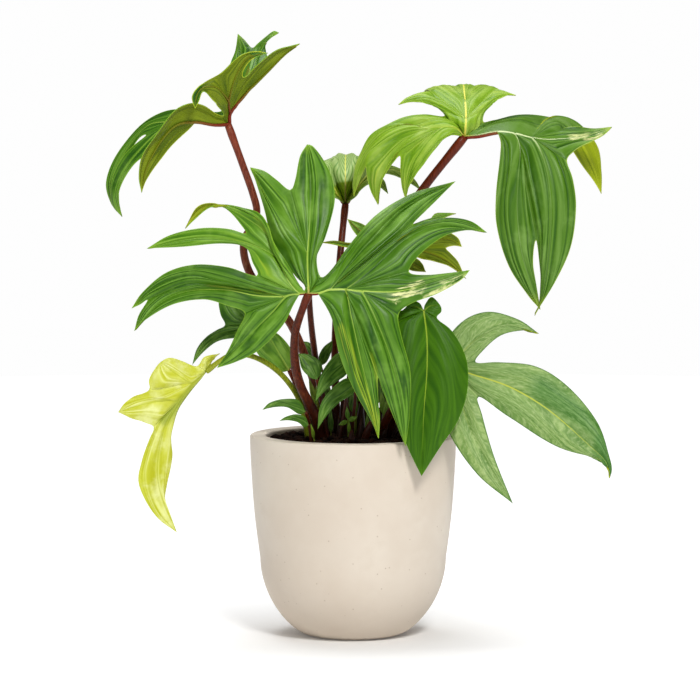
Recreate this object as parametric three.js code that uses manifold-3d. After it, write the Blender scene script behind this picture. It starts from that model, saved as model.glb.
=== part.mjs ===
// A potted florida ghost philodendron: ten fingered leaves, a young leaf and small base leaves
// on red-brown stalks, standing in soil in a cream concrete pot. Millimetres, +Z up. The origin
// is the middle of the pot's foot, and -Y is the front.
import * as THREE from 'three';
import { mergeVertices } from 'three/addons/utils/BufferGeometryUtils.js';
import Module from 'manifold-3d';

// Driving dimensions of the pot and the soil
const POT_RADIUS = 100;
const POT_HEIGHT = 195;
const POT_WALL = 15.5;
const POT_FLOOR = 14;
const FOOT_RADIUS = 42;
const BELLY_RADIUS = 90.5;
const BELLY_HEIGHT = 76;
const RIM_ROUNDING = 2.5;
const POT_SIDES = 40;
const POT_STEPS = 7;
const SOIL_TOP = 189;
const SOIL_LUMP = 2.2;
const SOIL_MOUND = 2.5;
const SOIL_CLEARANCE = 1.2;
const SOIL_SIDES = 24;
const SOIL_RINGS = 4;

// Driving dimensions of the plant
const BLADE = 1.1;
const GAP = 0.3;
const ROOT_DEPTH = 22;
const RIB_STEPS = 2;
const FINE_STEPS = 12;
const BLADE_STRIPS = 1;
const STALK_STEPS = 2;
const STALK_SIDES = 8;
const TAPER = 0.7;

// Where the plant is looked at from. A traced point is [across, up, back]: across and up are
// where it is seen on the upright plane through the pot's axis, and back is its depth. Leaving
// out back means the depth of the leaf's own surface there.
const EYE = new THREE.Vector3(-3, -3500, 550);

// Leaves, each with its fingers in order round the blade. A finger has a rib from the
// junction, or from control point fork[1] of finger fork[0]'s rib, to its tip. Then come the
// edge's points before and after the tip, and the notch (sinus) to the next finger. web bends
// the line from the fork to the notch, round joins both edges smoothly at the tip, and start
// and end are the rib points where the outline begins and ends.
const LEAVES = {
  // Upper left, with its underside to the front
  upper_left: {
    junction: [-121, 496, 10],
    fingers: [
      {
        rib: [
          [-134.5, 503.5, 25], [-151.5, 506, 42], [-175, 498.5, 50], [-198, 479, 50],
          [-219.5, 453, 46], [-229, 428, 42], [-223.5, 406, 38],
        ],
        before: [
          [-132.5, 498.5, 22], [-148, 498.5, 36], [-169, 486, 44], [-196, 468.5, 44],
          [-213.5, 455, 42], [-226.5, 430, 40],
        ],
        after: [[-233, 418.5, 46], [-233, 441.5, 50], [-221.5, 465.5, 54]],
        sinus: [-200, 484.5, 55],
      },
      {
        fork: [0, 3],
        rib: [[-196, 495.5, 58], [-212.5, 479, 62], [-228, 459, 62], [-237.5, 434, 60]],
        before: [[-208.5, 479, 58], [-223, 461, 58]],
        after: [
          [-237.5, 445.5, 64], [-225, 470, 66], [-204.5, 494.5, 64], [-181.5, 508, 56],
          [-157.5, 510, 44],
        ],
        sinus: [-127.5, 508, 20],
      },
      {
        fork: [4, 2],
        rib: [[-107, 545.5, 52], [-108, 566.5, 60], [-111, 582.5, 62]],
        before: [[-123.5, 526.5, 36], [-119, 551.5, 54], [-113.5, 566.5, 62]],
        after: [[-104.5, 576.5, 62], [-98.5, 569.5, 60]],
        sinus: [-95.5, 569.5, 58],
      },
      {
        fork: [4, 3],
        rib: [[-92, 562, 50], [-86, 573.5, 56], [-81, 580, 58], [-71.5, 583.5, 58]],
        before: [[-92, 573, 58], [-83.5, 580, 60], [-76.5, 585, 60]],
        after: [[-80, 577.5, 56], [-85, 570.5, 54]],
        sinus: [-82, 559, 42],
      },
      {
        rib: [
          [-120, 506, 8], [-112.5, 516, 8], [-100.5, 529.5, 9], [-82, 547.5, 10], [-66, 563, 10],
          [-51.5, 573, 8],
        ],
        before: [[-71.5, 566, 22]],
        after: [[-60, 571, 4], [-73, 567, -2], [-88, 557, -4]],
        sinus: [-103.5, 541.5, -6],
      },
      {
        fork: [4, 1],
        rib: [
          [-120.5, 516, -2], [-117.5, 529.5, -10], [-112, 544.5, -16], [-103.5, 558, -18],
          [-92.5, 562.5, -16], [-82, 564, -12],
        ],
        before: [[-106.5, 545.5, -12], [-99.5, 556, -16], [-90, 561.5, -14]],
        after: [[-93.5, 565.5, -18], [-105.5, 563.5, -20], [-115, 556.5, -22]],
        sinus: [-128, 544.5, -22],
      },
      {
        fork: [5, 2],
        rib: [[-130.5, 530, -22], [-143, 531, -30], [-150.5, 523.5, -34], [-152.5, 509.5, -34]],
        before: [[-141, 537, -26], [-150, 531, -34], [-155.5, 521.5, -37]],
        after: [[-148.5, 517.5, -36], [-144, 526.5, -33], [-134.5, 517.5, -22]],
        sinus: [-125, 504.5],
      },
      {
        rib: [
          [-134, 495, -2], [-151.5, 498, -8], [-168, 496.5, -14], [-180, 487.5, -18],
          [-192.5, 469.5, -20], [-201.5, 449.5, -20], [-204.5, 429.5, -18],
        ],
        before: [
          [-132.5, 506, -6], [-144, 513.5, -14], [-157.5, 516, -22], [-172, 509, -30],
          [-186.5, 490, -34], [-202.5, 468.5, -32], [-207, 445.5, -26],
        ],
        after: [[-199, 443, -16], [-181.5, 467.5, -10], [-159.5, 490, -4]],
        end: 2,
      },
    ],
  },
  // Upper right, spread and drooping, its top face up
  upper_right: {
    junction: [107.5, 483.5, 12],
    fingers: [
      {
        rib: [
          [103.5, 489, 4], [98, 492.5], [86.5, 492.5], [73, 482, -4], [59.5, 463, -8],
          [52.5, 443.5, -8], [50.5, 423, -4],
        ],
        before: [[90.5, 483, -2], [69.5, 458.5, -10], [55.5, 438, -8]],
        after: [[47, 435, -6], [45.5, 450.5, -6]],
        sinus: [45, 465, -4],
      },
      {
        fork: [0, 3],
        rib: [[74, 491.5, 2], [54.5, 482, 2], [36.5, 461], [26.5, 439.5, -2], [24, 417.5, -2]],
        before: [[35.5, 454, -2], [27, 438, -4]],
        after: [[17, 431, -1], [13.5, 444.5, 1]],
        web: [[42, 478.5, 6]],
        sinus: [12, 455, 2],
      },
      {
        fork: [1, 4],
        rib: [[55.5, 494.5, 10], [33.5, 488, 12], [15, 470.5, 12], [4, 447.5, 10], [0.5, 426, 8]],
        before: [[7, 442.5, 8]],
        after: [[-0.5, 441.5, 14], [5, 464, 18], [18, 486, 22], [43.5, 500.5, 24], [68, 504.5, 22]],
        sinus: [88, 503.5, 22],
      },
      {
        fork: [5, 2],
        rib: [[93, 512, 22], [76, 520.5, 34], [57.5, 521, 38], [43.5, 514.5, 36]],
        before: [[76, 513.5, 26], [59.5, 517, 34]],
        after: [[52.5, 521.5, 42], [68, 526, 48]],
        sinus: [75, 528, 56],
      },
      {
        fork: [5, 3],
        rib: [[95, 528.5, 58], [83.5, 531.5, 76], [74, 525.5, 92]],
        before: [[70, 528, 72], [68, 525.5, 84]],
        after: [[83.5, 530, 100]],
        sinus: [93, 530, 104],
      },
      {
        rib: [
          [108.5, 492.5, 2], [109, 500.5, 8], [108, 517.5, 30], [106.5, 532.5, 62], [106, 532, 100],
          [105.5, 521.5, 134],
        ],
        before: [[95, 526.5, 126]],
        after: [[116.5, 526.5, 126]],
        sinus: [122, 530, 104],
      },
      {
        fork: [5, 3],
        rib: [[121, 529, 58], [131.5, 531.5, 76], [141.5, 525.5, 92]],
        before: [[130, 530, 98]],
        after: [[146, 525.5, 82], [141.5, 529, 70]],
        sinus: [139, 529.5, 54],
      },
      {
        fork: [5, 2],
        rib: [[122, 515, 22], [136.5, 524, 34], [157, 523.5, 36]],
        before: [[148, 526.5, 44]],
        after: [[147.5, 523, 32], [136.5, 516.5, 24], [127.5, 507, 20]],
        sinus: [126, 497.5, 18],
      },
      {
        fork: [9, 4],
        rib: [[185, 499.5, 56], [205, 499.5, 76], [224.5, 480, 84], [235, 455, 84], [240, 428.5, 80]],
        before: [
          [137, 500, 32], [158.5, 504, 52], [185, 503.5, 76], [215.5, 497.5, 96], [235, 475.5, 98],
          [240, 449.5, 90],
        ],
        after: [[230.5, 443.5, 78], [219, 459, 68], [207, 478.5, 56]],
        sinus: [201.5, 490, 40],
      },
      {
        rib: [
          [120.5, 485, 10], [139, 488.5, 8], [155.5, 487, 6], [172, 483, 8], [188.5, 481, 14],
          [214, 482.5, 22], [235, 485.5, 28], [249.5, 493, 32],
        ],
        before: [[214, 493.5, 36], [233, 491.5, 38]],
        after: [[241, 484.5, 24], [227.5, 478, 14], [214, 470, 6]],
        sinus: [206.5, 460.5, -2],
      },
      {
        fork: [9, 4],
        rib: [
          [181.5, 468.5, -2], [188, 445.5, -10], [191, 414.5, -14], [189.5, 374, -14],
          [184, 332.5, -10], [175.5, 310.5, -8],
        ],
        before: [[212.5, 441.5, -8], [215.5, 414.5, -12], [210.5, 377, -14], [196, 344, -12]],
        after: [[180, 322.5, -6], [181, 350, -7]],
        sinus: [177, 383.5, -10],
      },
      {
        fork: [9, 3],
        rib: [
          [161.5, 472.5], [159.5, 445.5, -6], [158.5, 410.5, -10], [163, 372, -10], [174, 337, -3],
          [181.5, 316, 4],
        ],
        before: [[174, 362.5, -5], [177.5, 340, -1]],
        after: [
          [169, 330.5, -2], [150.5, 358.5, -8], [139, 395.5, -12], [138, 427, -10], [141.5, 464, -4],
          [142.5, 478.5],
        ],
        end: 2,
      },
    ],
  },
  // The large spread leaf at the front
  front: {
    junction: [-43, 331.5, -95],
    bend: [0, 0.25, 8, 12],
    start: 1,
    fingers: [
      {
        rib: [
          [-51.5, 331.5], [-64.5, 329], [-77.5, 314.5], [-92.5, 299.5], [-107.5, 284.5], [-132, 259.5],
        ],
        before: [[-58, 320.5], [-69, 299.5], [-92.5, 276], [-113.5, 265.5]],
        after: [[-120.5, 278], [-112, 296.5]],
        sinus: [-105, 313],
      },
      {
        fork: [0, 2],
        rib: [[-92.5, 330], [-122, 335.5], [-159, 334.5], [-187, 322.5], [-212, 295.5]],
        before: [[-121.5, 320], [-144.5, 326], [-174, 321.5], [-200, 307]],
        after: [[-207.5, 311]],
        web: [[-127, 339], [-161, 341.5]],
        sinus: [-199, 325.5],
      },
      {
        fork: [1, 2],
        rib: [[-127, 343.5], [-158, 350], [-190, 340], [-214.5, 317.5]],
        before: [[-206.5, 321]],
        after: [[-203.5, 333.5], [-181, 352], [-153, 360], [-122, 357.5]],
        sinus: [-93.5, 349],
      },
      {
        fork: [4, 3],
        rib: [[-99.5, 379.5], [-136.5, 386], [-167.5, 383.5], [-199.5, 375.5]],
        before: [[-97.5, 362.5], [-104, 376], [-125, 380.5], [-159, 377.5]],
        after: [[-177, 388.5], [-148.5, 395], [-121, 394.5]],
        sinus: [-104, 390],
      },
      {
        fork: [0, 1],
        rib: [
          [-62, 344], [-71.5, 365], [-83.5, 389.5], [-103.5, 405], [-125, 416, 2], [-143.5, 416.5, 8],
          [-155, 407, 10], [-162, 394.5, 10],
        ],
        before: [[-109, 399], [-120, 411.5, 2], [-134.5, 419, 8], [-151, 415, 12]],
        after: [
          [-154, 402.5, 8], [-140.5, 414, 5], [-127, 418, 1], [-106.5, 415, -2], [-88, 407.5, -6],
          [-77.5, 383.5, -8], [-64, 361.5, -5], [-54, 344, -2],
        ],
        sinus: [-47.5, 334.5],
      },
      {
        fork: [6, 2],
        rib: [[-59.5, 392.5], [-78.5, 419], [-99.5, 454]],
        before: [
          [-47, 340, 2], [-55.5, 348.5, 4], [-69, 367, 6], [-79.5, 387.5, 6], [-85, 410, 2],
          [-93.5, 438.5],
        ],
        after: [[-86, 450.5], [-73.5, 441.5]],
        sinus: [-61, 432],
      },
      {
        rib: [[-43.5, 349], [-44, 370], [-42, 398], [-40.5, 437], [-44.5, 476]],
        before: [[-56, 441.5], [-51.5, 464]],
        after: [[-38.5, 474], [-28.5, 461], [-19.5, 440.5], [-18, 418.5], [-26.5, 387.5], [-35, 368]],
        sinus: [-31.5, 348],
      },
      {
        fork: [9, 2],
        rib: [[-7, 355.5], [15, 381.5], [48, 414], [99, 440.5]],
        before: [[-20.5, 355.5], [-2, 381], [23, 408.5], [56.5, 428.5]],
        after: [[84.5, 426], [70, 411.5]],
        sinus: [57.5, 398.5],
      },
      {
        fork: [9, 3],
        rib: [[16.5, 354.5], [49.5, 384.5], [84.5, 398], [129.5, 391]],
        before: [[71, 402.5], [93.5, 405.5], [114.5, 401.5]],
        after: [[109, 393], [87.5, 387], [65.5, 370.5]],
        sinus: [54, 353],
      },
      {
        rib: [
          [-34, 332], [-22.5, 335.5], [-8, 336], [7.5, 334.5], [42.5, 334], [81, 343.5], [113, 354.5],
        ],
        before: [[71.5, 350], [93.5, 352]],
        after: [[104, 344.5], [81, 331.5], [56, 322]],
        sinus: [44, 311],
      },
      {
        fork: [9, 4],
        rib: [[23, 304], [37, 267.5], [46.5, 228.5, -3], [51, 183, -8]],
        before: [[47.5, 288.5], [55.5, 255.5], [55.5, 218.5]],
        after: [[38, 214.5], [28.5, 238]],
        sinus: [24, 250.5],
      },
      {
        fork: [9, 3],
        rib: [[-2, 311], [7, 269], [17, 230.5], [25, 190.5]],
        before: [[24.5, 228.5], [26, 209]],
        after: [[17, 209], [-0.5, 241], [-14, 275], [-21, 308]],
        end: 1,
      },
    ],
  },
  // Behind the middle, cupped and turned away
  back: {
    junction: [-7.5, 418, 72],
    fingers: [
      {
        rib: [[-14, 427, 64], [-25.5, 435, 56], [-36, 430, 52], [-43, 412.5, 52]],
        before: [[-16, 423.5, 62], [-25.5, 426, 52], [-33, 419.5, 50]],
        after: [[-41, 425, 54]],
        sinus: [-38, 436, 60],
      },
      {
        fork: [0, 1],
        rib: [[-26.5, 447.5, 72], [-40, 451.5, 80], [-48.5, 443.5, 84]],
        before: [[-43.5, 443.5, 76]],
        after: [[-43.5, 455, 90], [-30, 460, 98]],
        sinus: [-21.5, 463, 104],
      },
      {
        rib: [
          [-7.5, 431, 60], [-7.5, 443.5, 66], [-7.5, 459, 92], [-7, 466, 120], [-7, 463, 150],
          [-7, 451.5, 172],
        ],
        before: [[-18.5, 464, 134], [-15, 458, 160]],
        after: [[0.5, 458, 160], [4.5, 464, 134]],
        sinus: [7.5, 464, 108],
      },
      {
        fork: [4, 1],
        rib: [[17, 449.5, 70], [36.5, 452, 82], [53, 445.5, 88], [66, 431.5, 90]],
        before: [[24, 458, 92], [42, 453.5, 98], [58.5, 443, 96]],
        after: [[54.5, 439, 84], [39.5, 446.5, 76]],
        sinus: [24, 447.5, 68],
      },
      {
        rib: [[-1.5, 427, 64], [11.5, 440.5, 58], [24, 442.5, 56], [34, 428.5, 56]],
        before: [[30.5, 440.5, 60]],
        after: [[24, 436, 50], [13, 437.5, 48], [1.5, 425, 58]],
      },
    ],
  },
  // Behind the right, seen from below
  back_right: {
    junction: [30.5, 377, -18],
    fingers: [
      {
        rib: [[47, 367, -14], [70.5, 352.5, -8]],
        before: [[41.5, 364.5, -16], [55, 354.5, -12]],
        after: [[65.5, 362.5, -6]],
        sinus: [57, 368, -4],
      },
      {
        rib: [[49, 375, -10], [69.5, 372, 4], [90.5, 362.5, 14], [109, 346, 18]],
        before: [[67.5, 365], [84, 361.5, 8], [99.5, 354.5, 14]],
        after: [[102, 361.5, 20], [94.5, 370, 20]],
        sinus: [89.5, 375.5, 18],
      },
      {
        fork: [1, 1],
        rib: [[70.5, 381.5, 6], [91.5, 384.5, 16], [105, 377, 20]],
        before: [[97.5, 378, 18]],
        after: [[101, 386, 22], [87.5, 392.5, 24]],
        sinus: [72, 393.5, 22],
      },
      {
        rib: [[45, 391.5, -8], [64.5, 401.5, 8], [82, 406.5, 18], [99.5, 409.5, 22]],
        before: [[78, 408.5, 20], [89.5, 410, 24]],
        after: [[82, 403, 12], [64.5, 397, 2], [45, 397, -8]],
        sinus: [31.5, 387.5, -14],
      },
      {
        rib: [[20, 383.5, -10], [6.5, 393, 6], [-5.5, 404, 18]],
        before: [[22, 391.5, -8], [8.5, 399.5, 8]],
        after: [[-1.5, 395, 12], [4.5, 387.5, 6]],
        sinus: [12.5, 382.5, -4],
      },
      {
        rib: [[12.5, 377.5, -14], [-3, 379, -8], [-17.5, 381, -2], [-31, 381, 4]],
        before: [[-3, 381, -6], [-18.5, 383]],
        after: [[-18.5, 379, -4], [-3, 375.5, -10], [12.5, 372, -16]],
      },
    ],
  },
  // Right of the middle, in front of the rim
  right: {
    junction: [68.5, 315, -74],
    bend: [0.05, 0.2, -4, 3],
    fingers: [
      {
        rib: [[74, 319.5], [84, 321]],
        round: true,
        before: [[69.5, 321, -1], [76, 328.5, -1]],
        after: [[85.5, 314.5]],
        sinus: [81.5, 307.5],
      },
      {
        rib: [[71.5, 288.5], [71.5, 255.5], [68.5, 213.5], [66.5, 154]],
        before: [[96, 295], [109.5, 269], [111, 239], [102, 209], [84, 181.5]],
        after: [[55, 177.5], [45, 204], [37.5, 236], [36, 269], [38.5, 292.5]],
        sinus: [42, 305],
      },
      {
        rib: [[60.5, 319], [49.5, 317]],
        round: true,
        before: [[44.5, 313.5]],
        after: [[57, 324.5], [64.5, 322.5]],
      },
    ],
  },
  // The pale leaf at the right
  pale: {
    junction: [93.5, 261.5, -46],
    bend: [-0.08, 0.3, -3, 0],
    fingers: [
      {
        rib: [[108, 277], [122.5, 289.5], [147, 300], [180, 293]],
        before: [[90, 277], [96, 294.5], [113, 309.5], [134.5, 314], [160.5, 306.5]],
        after: [[163.5, 296], [142, 290.5], [126.5, 277]],
        sinus: [119, 265],
      },
      {
        rib: [[113.5, 254], [152, 241], [190.5, 218], [230.5, 183], [246, 167], [249, 151.5]],
        before: [[142, 265], [176, 261.5], [208, 242], [237, 207], [249, 173], [251.5, 160]],
        after: [[248.5, 161.5], [237.5, 171], [197.5, 183], [151, 212]],
        sinus: [122, 231.5],
      },
      {
        rib: [[103.5, 230.5], [115, 196], [135, 158], [155.5, 127]],
        before: [[125.5, 213], [137.5, 172]],
        after: [[121, 155.5], [94.5, 193.5], [84, 226.5]],
      },
    ],
  },
  // The lime leaf at the left
  lime: {
    junction: [-142, 256, -78],
    bend: [0.1, -0.1, 0, 0],
    fingers: [
      {
        rib: [
          [-155.5, 245], [-168, 228.5], [-182, 203.5], [-189.5, 172.5], [-188, 140.5], [-171.5, 99],
        ],
        before: [
          [-149.5, 246, 8], [-162.5, 231, 10], [-175.5, 213, 8], [-177.5, 192.5, 4], [-175, 174.5, 6],
          [-181, 146.5, 6], [-181.5, 125, 2],
        ],
        after: [
          [-190, 113], [-202.5, 131.5, -2], [-209, 150.5, -4], [-205, 170, -4], [-197.5, 190.5, -2],
        ],
        sinus: [-193.5, 202],
      },
      {
        fork: [0, 2],
        rib: [[-181.5, 228, -4], [-205, 224, -6], [-228, 216.5, -2]],
        before: [[-203, 206.5, -2], [-216, 211, -2]],
        after: [[-221.5, 225.5, -4], [-211, 232.5, -6]],
        sinus: [-198, 238, -8],
      },
      {
        fork: [0, 1],
        rib: [[-171, 253.5, -8], [-187, 265, -8]],
        round: true,
        before: [[-198, 247.5, -10], [-193.5, 256.5, -10]],
        after: [[-177, 269.5, -8], [-164, 265.5, -6]],
        sinus: [-151.5, 261, -4],
      },
      {
        rib: [[-140.5, 266], [-129, 273.5, 4]],
        before: [[-143.5, 270.5, -2]],
        after: [[-134.5, 268.5, 5]],
      },
    ],
  },
  // Behind the lime leaf's stalk
  rear_left: {
    junction: [-84.5, 300.5, -28],
    bend: [0, 0.2, 0, 0],
    fingers: [
      {
        rib: [[-109.5, 298], [-131, 293], [-145.5, 281.5], [-156, 262.5]],
        before: [[-94.5, 288.5], [-113.5, 288.5], [-131, 285.5], [-145, 275]],
        after: [[-151.5, 278], [-142.5, 289.5], [-132, 296.5]],
        sinus: [-124, 301.5],
      },
      {
        rib: [[-100, 307], [-113.5, 319.5], [-123, 342]],
        before: [[-128.5, 312], [-130, 327.5]],
        after: [[-109.5, 342], [-95, 325.5]],
      },
    ],
  },
  // Between the stalks, left of the middle
  inner_left: {
    junction: [-62, 257, -30],
    bend: [0, -0.35, 0, 0],
    fingers: [
      {
        rib: [[-70, 271], [-78.5, 285], [-92.5, 300.5]],
        before: [[-70, 256], [-81.5, 263.5], [-93, 274], [-96, 286.5]],
        after: [[-78.5, 296.5], [-64, 284], [-57.5, 270]],
      },
    ],
  },
  // A young leaf behind the front leaf
  young: {
    junction: [-43, 342, -66],
    bend: [0, 0.3, 0, 0],
    fingers: [
      {
        rib: [[-43.5, 362.5], [-42.5, 387.5], [-41, 417.5]],
        before: [[-46.5, 354.5], [-49, 376], [-46.5, 398]],
        after: [[-35, 397], [-35.5, 376], [-39, 354.5]],
      },
    ],
  },
  // Small leaves near the soil
  base_1: {
    junction: [-35, 248, -46],
    bend: [0, 0.2, 0, 0],
    fingers: [
      {
        rib: [[-39.5, 258.5], [-46, 267], [-53, 273.5]],
        before: [[-42, 250.5], [-50, 259.5]],
        after: [[-43, 272.5], [-31.5, 266], [-30.5, 256.5]],
      },
    ],
  },
  base_2: {
    junction: [-3, 269, -44],
    bend: [0.15, 0.2, 0, 0],
    fingers: [
      {
        rib: [[-16, 258.5], [-27.5, 246], [-36.5, 227]],
        before: [[-5.5, 254.5], [-16, 246], [-27.5, 237]],
        after: [[-33.5, 246], [-26.5, 261.5], [-14.5, 274]],
      },
    ],
  },
  base_3: {
    junction: [2.5, 244, -50],
    bend: [0.15, 0.2, 0, 0],
    fingers: [
      {
        rib: [[-10, 234], [-23.5, 223.5], [-34.5, 200]],
        before: [[0.5, 235], [-13, 226], [-24.5, 214.5]],
        after: [[-32, 222.5], [-21.5, 238.5], [-7, 249.5]],
      },
    ],
  },
  base_4: {
    junction: [-31.5, 261.5, -5],
    bend: [0, 0.2, 0, 0],
    fingers: [
      {
        rib: [[-26.5, 272], [-22.5, 280], [-20, 286.5]],
        before: [[-33.5, 270], [-28.5, 280]],
        after: [[-20.5, 277], [-25.5, 265.5]],
      },
    ],
  },
  base_5: {
    junction: [-36, 265.5, 22],
    bend: [0, 0.2, 0, 0],
    fingers: [
      {
        rib: [[-40, 273], [-44, 279], [-49, 285.5]],
        before: [[-44, 269], [-48.5, 277]],
        after: [[-42, 284], [-36, 275]],
      },
    ],
  },
  // Low leaves that hang over the rim at the left
  low_1: {
    junction: [-46, 216.5, -46],
    bend: [0.3, 0, 0, 0],
    fingers: [
      {
        rib: [[-55.5, 221], [-70, 224.5], [-88, 219]],
        before: [[-52.5, 214.5], [-63.5, 221], [-75, 221.5]],
        after: [[-80.5, 226], [-66.5, 229.5], [-52.5, 228]],
      },
    ],
  },
  low_2: {
    junction: [-43, 204, -48],
    bend: [0.3, 0, 0, 0],
    fingers: [
      {
        rib: [[-49, 208.5], [-59.5, 211.5], [-71.5, 208]],
        before: [[-47, 201.5], [-53.5, 206.5], [-62.5, 208.5]],
        after: [[-65.5, 212], [-55.5, 214.5], [-47, 212]],
      },
    ],
  },
};

// Stalks: the radius at the soil and at the top, the point where it enters the soil, and
// its route from there
const STALKS = {
  upper_left: {
    radii: [5.0, 3.3],
    foot: [-26.5, 2],
    route: [
      [-34, 233, 4], [-46, 269, 8], [-61.5, 304, 12], [-82.5, 327.5, 14], [-99, 350, 14],
      [-105.5, 370, 12], [-104.5, 385.5, 10], [-97, 398, 8], [-93, 411.5, 6], [-97, 429, 6],
      [-106.5, 456, 8], [-121, 495, 10],
    ],
  },
  upper_right: {
    radii: [5.0, 3.9],
    foot: [-7, -2],
    route: [
      [-3, 228.5], [-0.5, 262.5, 4], [5.5, 306, 8], [19, 350, 12], [42, 395.5, 14], [69, 435, 14],
      [107, 482, 12],
    ],
  },
  front: {
    radii: [6.0, 3.4],
    foot: [-30, -20],
    route: [
      [-36, 211, -28], [-43.5, 226.5, -34], [-51, 242, -41], [-55.5, 259.5, -50], [-57, 277, -60],
      [-55.5, 296.5, -74], [-48.5, 318, -88], [-43, 330, -94],
    ],
  },
  back: {
    radii: [4.2, 3.2],
    foot: [-15, 14],
    route: [[-17, 238, 20], [-17.5, 282, 30], [-15, 335, 44], [-12, 374, 58], [-7.5, 417.5, 72]],
  },
  back_right: {
    radii: [3.6, 2.6],
    foot: [4.5, 14],
    route: [[8.5, 248, 14], [14, 306, 2], [23, 345, -10], [30.5, 376, -18]],
  },
  right: {
    radii: [4.6, 2.8],
    foot: [22, -16],
    route: [[34.5, 213.5, -30], [50, 243, -50], [61.5, 282, -64], [68.5, 313.5, -73]],
  },
  pale: {
    radii: [4.6, 2.8],
    foot: [31.5, -4],
    route: [[43.5, 218.5, -16], [62.5, 243, -30], [81, 256.5, -41], [93, 261, -45]],
  },
  lime: {
    radii: [3.2, 2.3],
    foot: [-43, -16],
    route: [
      [-48, 214.5, -25], [-54.5, 233, -30], [-67, 250.5, -42], [-82.5, 263.5, -58], [-100, 271.5, -72],
      [-116.5, 272.5, -80], [-129, 266.5, -82], [-139, 258.5, -79],
    ],
  },
  rear_left: {
    radii: [2.8, 2.0],
    foot: [-41, 2],
    route: [[-46, 220.5, -4], [-54.5, 248, -12], [-67, 277, -16], [-83.5, 299.5, -27]],
  },
  inner_left: {
    radii: [2.4, 1.8],
    foot: [-34, -7],
    route: [[-46, 224.5, -14], [-54.5, 240, -24], [-62, 256.5, -30]],
  },
  young: {
    radii: [3.8, 2.8],
    foot: [-22.5, -8],
    route: [[-32.5, 243, -12], [-37, 273, -28], [-40, 296.5, -44], [-42, 319.5, -58], [-43, 341, -66]],
  },
  base_1: {
    radii: [1.8, 1.3],
    foot: [-23.5, -25],
    route: [[-31.5, 228.5, -34], [-35, 247.5, -45]],
  },
  base_2: {
    radii: [1.9, 1.4],
    foot: [-13, -30],
    route: [[-7, 228.5, -36], [-3, 268.5, -44]],
  },
  base_3: {
    radii: [1.9, 1.4],
    foot: [-3, -30],
    route: [[1.5, 223.5, -42], [2.5, 243, -50]],
  },
  base_4: {
    radii: [1.6, 1.1],
    foot: [-15, 2],
    route: [[-22.5, 233, -2], [-31.5, 261, -5]],
  },
  base_5: {
    radii: [1.5, 1.1],
    foot: [-22.5, 17],
    route: [[-30.5, 236, 20], [-36, 265.5, 22]],
  },
  low_1: {
    radii: [1.9, 1.4],
    foot: [-39, -34],
    route: [[-42, 205, -40], [-46, 216, -46]],
  },
  low_2: {
    radii: [1.6, 1.2],
    foot: [-40.5, -45],
    route: [[-42, 199, -47], [-43, 203.5, -48]],
  },
  stub_1: {
    radii: [4.4, 3.6],
    foot: [10.5, -34],
    route: [[14.5, 199, -37], [18, 208, -39]],
  },
  stub_2: {
    radii: [3.8, 3.0],
    foot: [-1.5, -46],
    route: [[-1.5, 195, -46], [-1, 199, -46]],
  },
};


// Colours, with a roughness for each kind of surface
const COLOURS = {
  pot: 0xd9cdb9,
  soil: 0x2b1c12,
  stalk: 0x5a2318,
  youngStalk: 0x7d8a2c,
  leaf: 0x3f7d22,
  lime: 0x9dbd35,
  pale: 0x8fb083,
};

function placed(across, up, back = 0) {
  const away = 1 + back / -EYE.y;
  return new THREE.Vector3(
    EYE.x + (across - EYE.x) * away,
    back,
    EYE.z + (up - EYE.z) * away,
  );
}

// A traced point of a leaf, with the depth that the leaf's lean and bow give it
function leafPoint(leaf, [across, up, out = 0]) {
  const [lean, tilt, bowAcross, bowUp] = leaf.bend ?? [0, 0, 0, 0];
  const dx = across - leaf.junction[0];
  const dz = up - leaf.junction[1];
  const bow = bowAcross * (dx / 100) ** 2 + bowUp * (dz / 100) ** 2;
  const start = leaf.bend ? leaf.junction[2] : 0;
  return placed(across, up, start + lean * dx + tilt * dz + bow + out);
}

function spline(points) {
  return new THREE.CatmullRomCurve3(points, false, 'catmullrom', 0.5);
}

// Points on a spline from one of its control points to another, in equal steps
function section(curve, from, to, steps) {
  const spans = curve.points.length - 1;
  const points = [];
  for (let k = 0; k <= steps; k += 1) {
    points.push(curve.getPoint((from + ((to - from) * k) / steps) / spans));
  }
  return points;
}

// The same line with its points at equal distances
function evenly(points, steps) {
  const reach = [0];
  for (let k = 1; k < points.length; k += 1) {
    reach.push(reach[k - 1] + points[k].distanceTo(points[k - 1]));
  }
  const even = [];
  let k = 1;
  for (let step = 0; step <= steps; step += 1) {
    const goal = (reach[reach.length - 1] * step) / steps;
    while (k + 1 < points.length && reach[k] < goal) k += 1;
    const part = (goal - reach[k - 1]) / Math.max(reach[k] - reach[k - 1], 1e-9);
    even.push(points[k - 1].clone().lerp(points[k], Math.min(part, 1)));
  }
  return even;
}

function lengthOf(points) {
  return points.slice(1).reduce((sum, point, k) => sum + point.distanceTo(points[k]), 0);
}

// Each finger's rib runs from the junction to the tip. A forked rib shares the start of another.
function ribsOf(leaf) {
  const junction = placed(...leaf.junction);
  const ribs = [];
  function ribOf(index) {
    if (ribs[index]) return ribs[index];
    const { fork, rib } = leaf.fingers[index];
    const own = rib.map((point) => leafPoint(leaf, point));
    const parent = fork ? ribOf(fork[0]) : { controls: [junction], line: [junction] };
    const shared = fork ? fork[1] : 0;
    const controls = [...parent.controls.slice(0, shared + 1), ...own];
    const before = Math.max(shared - 1, 0);
    const curve = spline(controls.slice(before));
    const spans = own.length;
    const line = parent.line.slice(0, shared * RIB_STEPS);
    line.push(...section(curve, shared - before, shared - before + spans, spans * RIB_STEPS));
    ribs[index] = { controls, line };
    return ribs[index];
  }
  leaf.fingers.forEach((_, index) => ribOf(index));
  return ribs;
}

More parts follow.
